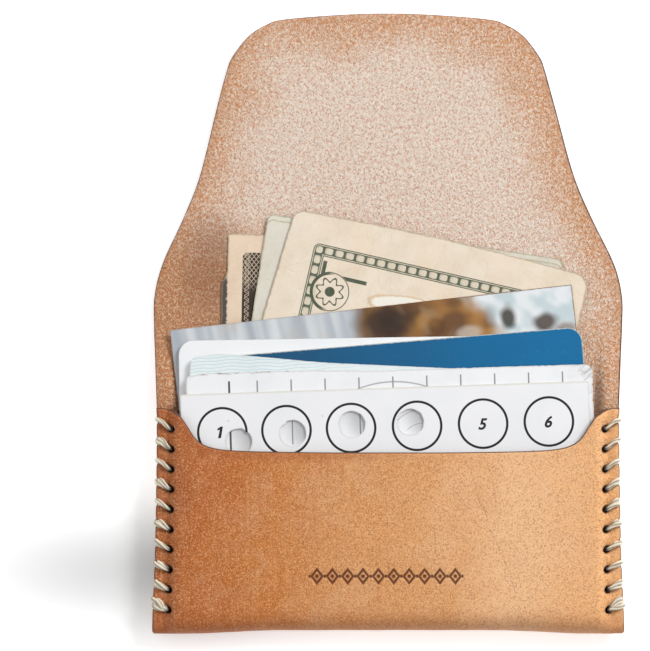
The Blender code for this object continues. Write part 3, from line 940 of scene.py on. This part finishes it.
def floor_paint():
    """A pale floor that glows a little, with a painted shadow by the wallet's lower left corner.
    """
    m = Paint("glowing_floor_painted_shadow", roughness=0.9, specular=0.1)
    grain = m.noise(40.0, 2.0, 0.5)
    m.colour = m.mix(grain, (0.92, 0.92, 0.92), (0.95, 0.95, 0.95))
    # painted shadow about SHADE: a darker colour and less glow
    lit = 1.0 - m.fade(m.away_from(*SHADE), 1.10, 0.0) * 0.8
    m.colour = m.mix(lit, (0.62, 0.62, 0.62), m.colour)
    # the floor glows, which washes out the real shadows on it
    m.shader.inputs["Emission Color"].default_value = (1.0, 1.0, 1.0, 1.0)
    m.link(lit * 0.5, "Emission Strength")
    return m.finish()


GRAIN, FLESH, CUT = grain_leather(), flesh_leather(), cut_edge()

# ---------------------------------------------------------------- the hide
ROUND = 0.6                   # depth over which the rim is rounded
RIM_HALF = 0.26               # half the flat left in the middle of the cut edge
HOLE_ROUND, HOLE_FALL = 0.3, 0.16   # width and depth of the rounding at a stitch hole
SIDE_LOW, SIDE_TOP = 2.0, 126.0     # stretch of the side edges; above it is the tip's curve


def rounded_half(rim, hole):
    """Half thickness of the hide near its rim and its holes."""
    half = RIM_HALF + (HIDE / 2 - RIM_HALF) * quarter(rim / ROUND)
    return half - HOLE_FALL * (1 - quarter(hole / HOLE_ROUND))


STITCH_Y = [HOLE_LOW_Y + i * HOLE_PITCH for i in range(STITCHES)]
# where the sheet is cut into a still pouch, four lengths along the crease and the flap
CUTS_Y = [75.6] + [CREASE_Y + CREASE_STEP * (i + 0.5) for i in range(4)]


def hole_x(y):
    """Distance of the stitch holes from the middle, following the waist of the pocket."""
    return HOLE_X - 0.8 * (HALF_W - half_width(y))


def rise(y):
    """How far a thread climbs from its hole to the edge."""
    return 1.2 + 0.7 * (y - HOLE_LOW_Y) / (HOLE_PITCH * (STITCHES - 1))


def side_edge(y):
    """Half-width with the notch that each stitch pulls into the edge."""
    notch = sum(np.exp(-((y - s - rise(s)) / 0.7) ** 2) for s in STITCH_Y)
    return half_width(y) - 0.40 * notch


def hide_outline():
    """The anticlockwise outline in the flat pattern: right side, tip, left side, mouth."""
    front_y = np.linspace(SHOULDER_Y, SIDE_LOW, 120)
    right = [(side_edge(y), to_pattern(HALF_W, y)) for y in front_y]
    low = to_pattern(HALF_W, SIDE_LOW)
    right += [(HALF_W, p) for p in np.linspace(low, SIDE_LOW, 26)[1:-1]]
    back_y = np.sort(np.concatenate([np.linspace(SIDE_LOW, SIDE_TOP, 290), CUTS_Y]))
    right += [(side_edge(y), y) for y in back_y]
    right += [(x, y) for x, y in EDGE if y > SIDE_TOP + 0.2]
    left = [(-x, y) for x, y in reversed(right[:-1])]
    xs = np.concatenate([np.arange(-50.4, -34.0, 0.35), np.arange(-34.0, 34.0, 0.9),
                         np.arange(34.0, 50.5, 0.35)])
    mouth = [(x, to_pattern(x, mouth_y(x))) for x in xs]
    return np.array(right + left + mouth)


def stitch_loops():
    """Stitch holes as (x, y) loops."""
    angles = around(20)
    loops = []
    for side in (-1, 1):
        for y in STITCH_Y:
            hx = side * hole_x(y) + 0.86 * np.cos(angles)
            hy = y + 0.80 * np.sin(angles) + side * 0.12 * np.cos(angles)
            loops.append(np.stack([hx, hy], axis=1))
    return loops


def near_segment(x, y, a, b):
    """Distance from the points (x, y) to the straight piece from a to b."""
    dx, dy = b[0] - a[0], b[1] - a[1]
    t = np.clip(((x - a[0]) * dx + (y - a[1]) * dy) / (dx * dx + dy * dy), 0, 1)
    return np.hypot(x - a[0] - t * dx, y - a[1] - t * dy)


def to_line(points, line):
    """Distance from each point to an open line."""
    best = np.full(len(points), FAR)
    for a, b in zip(line, line[1:]):
        best = np.minimum(best, near_segment(points[:, 0], points[:, 1], a, b))
    return best


STAMP_X, STAMP_Y, STAMP_STEP, STAMP_COUNT = -0.5, 12.2, 3.3, 10
STAMP_HALF = 18.2             # half the width of the finer grid for the stamp
# how deep a thread, a hole and the stamp press the outer skin, and how uneven both skins are
THREAD_DEPTH, HOLE_DEPTH, STAMP_DEPTH, UNEVEN = 0.20, 0.16, 0.17, 0.018


def stamp_depth(x, y):
    """A plain pressed ornament: a row of lozenges with a dot in each and between them."""
    first = STAMP_X - STAMP_STEP * (STAMP_COUNT - 1) / 2
    number = np.clip(np.round((x - first) / STAMP_STEP), 0, STAMP_COUNT - 1)
    dx = np.abs(x - first - number * STAMP_STEP)
    dy = np.abs(y - STAMP_Y)
    lozenge = np.abs(dx / 1.15 + dy / 1.45 - 1.0) * 0.9
    dots = np.minimum(np.hypot(dx, dy) - 0.16, np.hypot(dx - STAMP_STEP / 2, dy) - 0.10)
    inner = (dx < STAMP_STEP / 2 + 0.01) & (dy < 2.5)
    away = np.where(inner, np.minimum(lozenge, dots), 9.0)
    return smooth((0.34 - away) / 0.20)


# the flat pattern: its outline, the holes of the back (narrower) and of the front, and a grid
outline = hide_outline()
loops = stitch_loops()
hole_loops = []
for loop in loops:
    middle = loop.mean(axis=0)
    hole_loops.append(middle + 0.62 * (loop - middle) + np.sign(middle[0]) * np.array((0.3, 0.0)))
    hole_loops.append(np.stack([loop[:, 0], to_pattern(loop[:, 0], loop[:, 1])], axis=1)[::-1])
# a finer grid beside the seams and under the stamp, and rows clear of the cuts
hem = np.concatenate([np.arange(-51, -43, 0.45), np.arange(-43, 43, 1.1),
                      np.arange(43, 51, 0.45)])
gx, gy = np.meshgrid(hem, np.arange(outline[:, 1].min(), TIP_Y, 0.8))
gx = gx + 0.3 * (np.arange(gx.shape[0]) % 2)[:, None]
grid = np.stack([gx.ravel(), gy.ravel()], axis=1)
for y in CUTS_Y:
    grid = grid[np.abs(grid[:, 1] - y) > 0.25]
stamp_low = to_pattern(0.0, STAMP_Y + 2.0)
stamp_high = to_pattern(0.0, STAMP_Y - 2.0)
in_stamp = np.abs(grid[:, 0]) < STAMP_HALF + 0.3
in_stamp &= (grid[:, 1] > stamp_low) & (grid[:, 1] < stamp_high)
fine_grid = lattice(np.arange(-STAMP_HALF, STAMP_HALF, 0.15),
                    np.arange(stamp_low + 0.1, stamp_high, 0.15))
grid = np.concatenate([grid[~in_stamp], fine_grid])
lines = [lattice(np.linspace(-half_width(y), half_width(y), 90), [y]) for y in CUTS_Y]
flat, tris = triangulate(outline, hole_loops, grid, (0.13, 0.32, 0.62), lines)

# each point's place on the real hide, and its distance from the rim and from the holes
px, pp = flat[:, 0], flat[:, 1]
start = fold_start(px)
is_front = pp < start - ARC / 2
on_front_y = 2 * start - ARC - pp
real_y = np.where(pp > start, pp, np.where(pp < start - ARC, on_front_y, 1.0))
real = np.stack([px, real_y], axis=1)
side_line = np.array([(side_edge(y), y) for y in np.linspace(-1.0, SIDE_TOP, 380)])
tip_line = np.array([p for p in EDGE if p[1] > SIDE_TOP - 0.5])
mirror = np.array((-1.0, 1.0))
rim = np.minimum(to_line(real, side_line), to_line(real, side_line * mirror))
mouth_line = np.array([(x, mouth_y(x)) for x in np.linspace(-50.8, 50.8, 260)])
tip_rim = np.minimum(to_line(real, tip_line), to_line(real, tip_line * mirror))
rim = np.minimum(rim, np.where(is_front, to_line(real, mouth_line), tip_rim))
hole = np.full(len(flat), FAR)
near_seam = (np.abs(px) > 43.0) & (real_y < 50.0)
hole[near_seam] = distance_to(real[near_seam], loops)

# where the thread presses: outwards from its hole on the front, on to the next one on the back
press = np.zeros(len(flat))
for y in STITCH_Y:
    edge_x = half_width(y) + 0.2
    lie = near_segment(np.abs(px), real_y, (hole_x(y) + 0.3, y), (edge_x, y + rise(y)))
    tuck = near_segment(np.abs(px), real_y, (edge_x, y + rise(y) + 0.35),
                        (hole_x(y), y + HOLE_PITCH))
    if y == STITCH_Y[-1]:     # no hole follows the last one
        tuck = tuck + FAR
    press = np.maximum(press, np.exp(-(np.where(is_front, lie, tuck) / 0.72) ** 2))
press = press * near_seam

# the two skins, to either side of the folded middle surface
step = 0.05
middle = folded(px, pp)
slant_x = folded(px + step, pp) - folded(px - step, pp)
slant_p = folded(px, pp + step) - folded(px, pp - step)
normal = np.cross(slant_x, slant_p)
normal /= np.linalg.norm(normal, axis=1)[:, None]
half = rounded_half(rim, hole)
stamp = np.where(is_front, stamp_depth(px, real_y), 0.0)
sunk = THREAD_DEPTH * press + HOLE_DEPTH * np.exp(-(hole / 0.9) ** 2) + STAMP_DEPTH * stamp
ease = np.clip(rim / 1.5, 0, 1)
sunk = sunk - UNEVEN * waves(px, pp, 7.0, 5) * ease
nap = UNEVEN * waves(px, pp, 2.6, 8, 14) * ease
inner_skin = middle + normal * (half + nap)[:, None]
outer_skin = middle - normal * (half - sunk)[:, None]
outer_skin[:, 2] = np.maximum(outer_skin[:, 2], 0.0)
coords = np.stack([px, np.where(is_front, on_front_y, pp), np.where(is_front, 8.0, 0.0)], axis=1)
hide_facts = {"mm": coords, "rim": rim, "hole": np.minimum(hole, 20.0),
              "press": np.maximum(press * 0.5, stamp)}

# one object for each length between two cuts
middles = pp[tris].mean(axis=1)
limits = [-FAR] + CUTS_Y + [FAR]
HIDE_PIECES = (
    ("hide_pouch", ("front_panel", "back_panel", "bottom_fold")),
    ("hide_crease_first", ("crease_lower",)),
    ("hide_crease_second", ("crease_middle",)),
    ("hide_crease_third", ("crease_upper",)),
    ("hide_crease_fourth", ()),
    ("hide_flap", ("flap",)),
)
on_cut = np.any([np.abs(pp - y) < 1e-4 for y in CUTS_Y], axis=0)
for index, (name, nodes) in enumerate(HIDE_PIECES):
    chosen = tris[(middles > limits[index]) & (middles < limits[index + 1])]
    piece = thicken(name, inner_skin, outer_skin, chosen, (1, 0, 2), (GRAIN, FLESH, CUT),
                    hide_facts, is_open=on_cut)
    if index == 0:
        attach(piece, "pouch")
    elif index == 5:
        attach(piece, "flap")
    else:
        low, high = CUTS_Y[index - 1], CUTS_Y[index]
        (low - MID_Y) * MM
        (high - MID_Y) * MM
        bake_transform(piece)
    if nodes:
        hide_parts(*nodes)


# ---------------------------------------------------------------- lacing
PATH_GAP = 0.16               # distance between two points of a thread's path
# how far the thread's middle stands off the front, off the back and in from the edge
OFF_FRONT, OFF_BACK, OFF_EDGE = 0.42, 0.50, 0.52


def lacing_path(side):
    """Whip stitch, with the lowest stitch laid twice.

    Each pass goes up through a pair of holes, over the front and round the edge to the back."""
    path = []
    # of each pass: its hole, the next hole, and how much higher it crosses the edge
    passes = [(STITCH_Y[0], STITCH_Y[0], -0.15)]
    passes += [(y, y + HOLE_PITCH, 0.95 * (y == STITCH_Y[0])) for y in STITCH_Y]
    for number, (y, following, drop) in enumerate(passes):
        hx, next_hx, up = hole_x(y), hole_x(following), y + rise(y) + drop
        out = half_width(up) - OFF_EDGE
        top = front_z(HALF_W, y) + HIDE / 2 + OFF_FRONT
        low = back_z(HALF_W, y) - HIDE / 2 - OFF_BACK
        path += [
            (hx + 0.35, y, low + 0.7), (hx + 0.38, y, top - 1.3),
            (hx + 0.50, y + 0.05, top - 0.50), (hx + 0.95, y + 0.22 * (up - y), top - 0.06),
            (out - 0.75, up - 0.38, top + 0.02), (out - 0.14, up - 0.10, top - 0.25),
            (out + 0.04, up, top - 0.9), (out + 0.04, up + 0.15, low + 0.9),
            (out - 0.15, up + 0.3, low + 0.25), (out - 0.75, up + 0.6, low + 0.02),
        ]
        if number < len(passes) - 1:
            path += [(next_hx + 0.9, following - 0.3, low),
                     (next_hx + 0.42, following - 0.05, low + 0.22)]
    path.append((hole_x(STITCH_Y[-1]) + 1.0, path[-1][1] + 0.9, low + 0.05))
    path = np.array([(side * x + off_true(y), y, z) for x, y, z in path])
    return spline([2 * path[0] - path[1], *path, 2 * path[-1] - path[-2]], gap=PATH_GAP)


def carried_frames(line):
    """Two unit vectors across the line at each point, carried along without twist."""
    ahead = np.gradient(line, axis=0)
    ahead /= np.linalg.norm(ahead, axis=1)[:, None]
    first = np.cross(ahead[0], (0.0, 1.0, 0.2))
    first /= np.linalg.norm(first)
    across = [first]
    for tangent in ahead[1:]:
        v = across[-1] - tangent * (across[-1] @ tangent)
        across.append(v / np.linalg.norm(v))
    across = np.array(across)
    return across, np.cross(ahead, across)


# a strand's radius, its way off the path's middle, and the length of one turn of the strands
# and of the plies
STRAND_R, STRAND_OFF, LAY, PLY_LAY, STRAND_SIDES = 0.49, 0.41, 34.0, 10.0, 16


def strand(line, turn):
    """One of the two strands: three plies twisted together, wound loosely round the line.

    Both are pinched together inside the holes."""
    run = np.concatenate([[0], np.cumsum(np.linalg.norm(np.diff(line, axis=0), axis=1))])
    u, v = carried_frames(line)
    angle = turn + math.tau * run / LAY
    open_out = smooth((np.abs(line[:, 0]) - HOLE_X - 0.2) / 2.0)[:, None]
    spread = STRAND_OFF * (0.4 + 0.6 * open_out)
    core = line + spread * (u * np.cos(angle)[:, None] + v * np.sin(angle)[:, None])
    u, v = carried_frames(core)
    angles = around(STRAND_SIDES)
    phase = 3 * (angles[None, :] - math.tau * run[:, None] / PLY_LAY)
    ply = np.cos(phase)
    thick = STRAND_R * (0.74 + 0.26 * open_out)
    radius = thick * (1 + 0.08 * ply + 0.03 * waves(run, run * 0, 1.3, 21)[:, None])
    sides = np.cos(angles)[None, :, None], np.sin(angles)[None, :, None]
    ring = u[:, None, :] * sides[0] + v[:, None, :] * sides[1]
    verts = core[:, None, :] + ring * radius[:, :, None]
    return verts, ply, np.repeat(run[:, None], STRAND_SIDES, axis=1)


THREAD = waxed_thread()
for name, side in (("left_lacing", -1), ("right_lacing", 1)):
    line = lacing_path(side)
    verts, faces, plies, runs, turns = [], [], [], [], []
    for turn in (0.0, math.pi):
        ring_points, ply, run = strand(line, turn)
        first, rings = len(verts), len(ring_points)
        verts += [tuple(p) for p in ring_points.reshape(-1, 3)]
        plies += list(ply.ravel())
        runs += list(run.ravel())
        turns += list(np.tile(around(STRAND_SIDES) * STRAND_R, rings))
        for i in range(rings - 1):
            for j in range(STRAND_SIDES):
                k = (j + 1) % STRAND_SIDES
                a, b = first + i * STRAND_SIDES, first + (i + 1) * STRAND_SIDES
                faces.append((a + j, a + k, b + k, b + j))
        faces.append(tuple(first + j for j in reversed(range(STRAND_SIDES))))
        faces.append(tuple(first + (rings - 1) * STRAND_SIDES + j for j in range(STRAND_SIDES)))
    places = np.array(verts)
    # painted shade where the thread goes down into a hole
    in_hole = smooth((HOLE_X + 1.35 - np.abs(places[:, 0])) / 0.5)
    facts = {"ply": plies, "sunk": smooth((6.35 - places[:, 2]) / 0.9) * in_hole,
             "mm": np.stack([runs, turns, np.zeros(len(runs))], axis=1)}
    thread = linked(name + "_thread", mesh_of(name + "_thread", places, faces, [THREAD], facts))
    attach(thread, "pouch")
    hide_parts(name)


# ---------------------------------------------------------------- cards and notes
CARD_GRID, NOTE_GRID = 2.4, 1.3


def card_outline(width, height, radii, jitter=0.0, seed=1):
    """Anticlockwise outline with its own top left corner at (0, 0), y downwards negative."""
    corners = ((0, 0, 1, -1), (width, 0, -1, -1), (width, -height, -1, 1), (0, -height, 1, 1))
    outline = []
    for number, ((cx, cy, sx, sy), radius) in enumerate(zip(corners, radii)):
        centre = np.array((cx + sx * radius, cy + sy * radius))
        first = math.pi - number * math.pi / 2
        for step in range(9):
            angle = first - math.pi / 2 * step / 8
            outline.append(centre + radius * np.array((math.cos(angle), math.sin(angle))))
    dense = []
    for a, b in zip(outline, outline[1:] + outline[:1]):
        count = max(1, int(np.linalg.norm(b - a) / 0.7))
        dense += [a + (b - a) * i / count for i in range(count)]
    loop = np.array(dense)[::-1]
    if jitter:
        worn = np.abs(waves(loop[:, 0], loop[:, 1], 2.2, seed, 12)) * jitter
        loop = inset(loop, worn[:, None])
    return loop


def set_down(points, corner, tilt, level):
    """Card coordinates to the wallet's: turned by tilt about the corner, raised to level."""
    turn = math.radians(tilt)
    x = corner[0] + points[:, 0] * math.cos(turn) - points[:, 1] * math.sin(turn)
    y = corner[1] + points[:, 0] * math.sin(turn) + points[:, 1] * math.cos(turn)
    return np.stack([x, y, level], axis=1)


def card(name, corner, width, height, tilt, low, thick, radii, materials, holes=(), jitter=0.0,
         rounding=0.0, seed=1, bow=None):
    """A flat card with its own materials (face, back, edge) that rides its own body.

    rounding is the radius of its worn rim; bow(x) is how far its top edge rises at x."""
    loop = card_outline(width, height, radii, jitter, seed)
    if bow is not None:
        loop[:, 1] += bow(loop[:, 0]) * smooth(1 + loop[:, 1] / 6)
    grid = lattice(np.arange(0.4, width, CARD_GRID), np.arange(-height + 0.4, 0, CARD_GRID))
    rings = (0.12, 0.3) if rounding else (0.35,)
    flat, tris = triangulate(loop, list(holes), grid, rings, keep=0.5)
    rim = distance_to(flat, [loop] + list(holes))
    half = np.full(len(flat), thick / 2)
    if rounding:
        half = half - 0.45 * rounding * (1 - quarter(rim / rounding))
    level = np.full(len(flat), low + thick / 2)
    top = set_down(flat, corner, tilt, level + half)
    bottom = set_down(flat, corner, tilt, level - half)
    place = np.stack([flat[:, 0], -flat[:, 1], np.zeros(len(flat))], axis=1)
    made = thicken(name + "_sheet", top, bottom, tris, (0, 1, 2), materials,
                   {"mm": place, "rim": rim})
    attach(made, name)
    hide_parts(name)


PLASTIC = plastic_core()
WHITE = white_paint()
PUNCH = punch_paint()
TICK = tick_paint()
TICKET = ticket_paint()

PUNCH_R = 2.85
punch_holes = []
for number, (x, y) in enumerate(PUNCHED):
    u, v = on_card(x, y, PUNCH_CORNER, PUNCH_TILT)
    centre = np.array((u, -v))
    angles = around(48)
    torn = 0.05 * waves(np.cos(angles) * PUNCH_R, np.sin(angles) * PUNCH_R, 1.5, 40 + number, 10)
    torn = torn - 0.25 * np.exp(-((angles - 0.9 - number * 1.3) / 0.16) ** 2)
    radius = (PUNCH_R + torn)[:, None]
    punch_holes.append(centre + radius * np.stack([np.cos(angles), np.sin(angles)], axis=1))

card("punch_card", PUNCH_CORNER, 87.9, 47.5, PUNCH_TILT, PUNCH_LOW, PUNCH_THICK,
     (0.5, 0.5, 0.5, 0.5), (PUNCH, PUNCH, PUNCH), punch_holes, jitter=0.03, seed=2)
card("tick_card", TICK_CORNER, 87.5, 50.8, TICK_TILT, 5.15, 0.25, (0.8, 1.6, 0.5, 0.5),
     (TICK, TICK, TICK), jitter=0.10, seed=3,
     bow=lambda u: 0.5 * smooth(u / 6) * (1 - smooth((u - 22) / 20)))
card("ticket", (-42.7, 59.4), 80.0, 48.0, -2.6, 4.83, 0.20, (1.6, 0.4, 0.4, 0.4),
     (TICKET, TICKET, TICKET), jitter=0.04, seed=4,
     bow=lambda u: 0.80 * smooth(u / 7) * (1 - smooth((u - 8) / 24)))
card("blue_card", (-42.95, 58.8), 84.6, 54.0, 4.76, 3.95, 0.76, (3.18,) * 4,
     (blue_paint(), WHITE, PLASTIC), rounding=0.16)
card("white_card", (-45.4, 62.8), 85.6, 54.0, 0.9, 3.07, 0.76, (3.18,) * 4,
     (WHITE, WHITE, PLASTIC), rounding=0.16)
PHOTO_BACK = photo_back()
card("photo_print", (-47.25, 65.05), 87.2, 54.0, 6.5, 2.73, 0.22, (0.3,) * 4,
     (photo_paint(), PHOTO_BACK, PHOTO_BACK), jitter=0.03, seed=5)

# the printed numerals of the punch card, in thin ink
INK = ink_paint()
INK_LIFT, NUMERAL_SIZE = 0.008, 3.3


def print_on_punch(name, mesh, u, v):
    """Lay a flat ink shape on the punch card with its middle at (u, v)."""
    mesh.materials.clear()
    mesh.materials.append(INK)
    keep_facts(mesh, {"mm": np.array([v.co / MM for v in mesh.vertices])})
    made = linked(name, mesh)
    spot = set_down(np.array([(u, -v)]), PUNCH_CORNER, PUNCH_TILT,
                    np.array([PUNCH_LOW + PUNCH_THICK + INK_LIFT]))[0]
    made.location = Vector((spot[0], spot[1] - MID_Y, spot[2])) * MM
    made.rotation_euler.z = math.radians(PUNCH_TILT)
    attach(made, "punch_card")


ONE = ((-0.62, -1.25), (0.02, -1.25), (0.52, 1.25), (0.06, 1.25), (-0.72, 0.78), (-0.62, 0.38),
       (-0.18, 0.58))
mesh = bpy.data.meshes.new("numeral_1")
mesh.from_pydata([(x * MM, y * MM, 0.0) for x, y in ONE], [], [tuple(range(len(ONE)))])
print_on_punch("numeral_1", mesh, RINGS[0][0] - 0.35, RINGS[0][1])
for number, label in ((4, "5"), (5, "6")):
    text = bpy.data.curves.new("numeral", "FONT")
    text.body = label
    text.size = NUMERAL_SIZE * MM
    text.shear = 0.26
    text.offset = 0.10 * MM
    text.align_x = "CENTER"
    text.align_y = "CENTER"
    text.extrude = 0.006 * MM
    shape = bpy.data.objects.new("numeral", text)
    mesh = bpy.data.meshes.new_from_object(shape)
    bpy.data.objects.remove(shape)
    print_on_punch(f"numeral_{label}", mesh, RINGS[number][0] - 0.3, RINGS[number][1] + 0.2)

# a note's space in the pocket, one leaf, a leaf's way off the middle, and its ripple
NOTE_THICK, NOTE_LEAF, NOTE_APART, NOTE_RIPPLE = 0.25, 0.07, 0.055, 0.022


def note(name, corner, width, height, tilt, low, radii, paint, seed, crown=0.0, step=0.35,
         lean=None):
    """A folded bank note: one leaf's outline made into a front and a back leaf, lying flat.

    crown raises the middle of the top edge; step is how much lower one leaf's top lies;
    lean(v) is how far the left edge stands out of square."""
    upper = card_outline(width, height, (radii[0], radii[1], 0.05, 0.05), 0.10, seed)
    high = smooth(1 + upper[:, 1] / 10)
    upper[:, 1] += crown * (1 - ((upper[:, 0] - width / 2) / (width / 2)) ** 2) * high
    if lean is not None:
        upper[:, 0] -= lean(-upper[:, 1]) * smooth(1 - upper[:, 0] / 3)
    grid = lattice(np.arange(-4.8, width, NOTE_GRID), np.arange(-height + 0.4, crown, NOTE_GRID))
    flat, tris = triangulate(upper, [], grid, (0.4,), keep=0.5)
    rim = distance_to(flat, [upper])
    u, v = flat[:, 0], -flat[:, 1]
    free = smooth((height - v) / 20.0)
    drops = {"front": max(step, 0.0), "back": max(-step, 0.0)}
    parts = []
    for leaf, sign in (("front", 1), ("back", -1)):
        ripple = NOTE_RIPPLE * waves(u, v, 17.0, seed + (sign > 0), 7) * free
        level = low + NOTE_THICK / 2 + sign * NOTE_APART + ripple
        shorter = np.stack([0 * u, -drops[leaf] * free], axis=1)
        top = set_down(flat + shorter, corner, tilt, level + NOTE_LEAF / 2)
        bottom = set_down(flat + shorter, corner, tilt, level - NOTE_LEAF / 2)
        place = np.stack([u, v, np.zeros(len(u))], axis=1)
        parts.append(thicken(f"{name}_{leaf}_leaf", top, bottom, tris, (0, 0, 0), (paint,),
                             {"mm": place, "rim": rim}))
    for made in parts:
        anchor = set_down(np.array([(0.0, -height)]), corner, tilt, np.array([low]))[0]
        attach(made, name)
        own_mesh(made)
    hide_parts(name)


note("front_note", (-20.25, 91.1), 65.2, 72.0, -12.9, 2.36, (2.0, 3.0),
     note_paint("front_note_print", srgb(236, 223, 204), srgb(226, 210, 188), srgb(236, 212, 186),
                cell_border), 61, crown=0.95, step=-0.35, lean=lambda v: 0.07 * np.minimum(v, 30))
note("middle_note", (-26.1, 90.3), 64.6, 73.0, -8.9, 1.99, (1.6, 1.6),
     note_paint("middle_note_print", srgb(224, 219, 205), srgb(212, 206, 190), srgb(218, 212, 190),
                plain_rim), 63, step=1.1)
note("back_note", (-34.75, 85.9), 33.1, 78.0, -1.2, 1.62, (0.6, 1.0),
     note_paint("back_note_print", srgb(234, 212, 188), srgb(222, 198, 172), srgb(232, 202, 174),
                lattice_band), 65, step=-0.35,
     lean=lambda v: 1.15 * smooth((v - 8.0) / 3.0) * (1 - smooth((v - 34.0) / 4.0)))

# ---------------------------------------------------------------- floor, light and camera
FRAME_W = 140.1               # width of the view at the level of the cards
CAMERA_UP = 900.0
CARDS_Z, SENSOR = 5.0, 36.0
VIEW_X, VIEW_Y = -13.8, 66.06
FLOOR_HALF, FLOOR_Z = 1500.0, -0.05

ends = [(sx * FLOOR_HALF, sy * FLOOR_HALF) for sx, sy in ((-1, -1), (1, -1), (1, 1), (-1, 1))]
mesh = bpy.data.meshes.new("floor")
mesh.from_pydata([(x * MM, y * MM, FLOOR_Z * MM) for x, y in ends], [], [(0, 1, 2, 3)])
mesh.materials.append(floor_paint())
keep_facts(mesh, {"mm": [(x, y, 0.0) for x, y in ends]})
linked("floor", mesh)


def lamp(name, at, size, energy):
    """An area lamp that faces the middle of the scene."""
    light = bpy.data.lights.new(name, "AREA")
    light.size = size
    light.energy = energy
    made = linked(name, light)
    made.location = at
    made.rotation_euler = (-Vector(at)).to_track_quat("-Z", "Y").to_euler()


lamp("key", (0.55, 0.50, 0.55), 0.35, 6.3)
lamp("fill", (-0.9, 0.3, 1.0), 1.2, 4.2)
world = bpy.data.worlds.new("studio")
world.use_nodes = True
sky = world.node_tree.nodes["Background"]
sky.inputs["Color"].default_value = (1.0, 1.0, 1.0, 1.0)
sky.inputs["Strength"].default_value = 0.46
bpy.context.scene.world = world
bpy.context.scene.view_settings.view_transform = "Standard"

camera_data = bpy.data.cameras.new("camera")
camera_data.sensor_width = SENSOR
camera_data.lens = SENSOR * (CAMERA_UP - CARDS_Z) / FRAME_W
camera_data.clip_end = 20.0
camera = linked("camera", camera_data)
camera.location = Vector((VIEW_X, VIEW_Y - MID_Y, CAMERA_UP)) * MM
bpy.context.scene.camera = camera
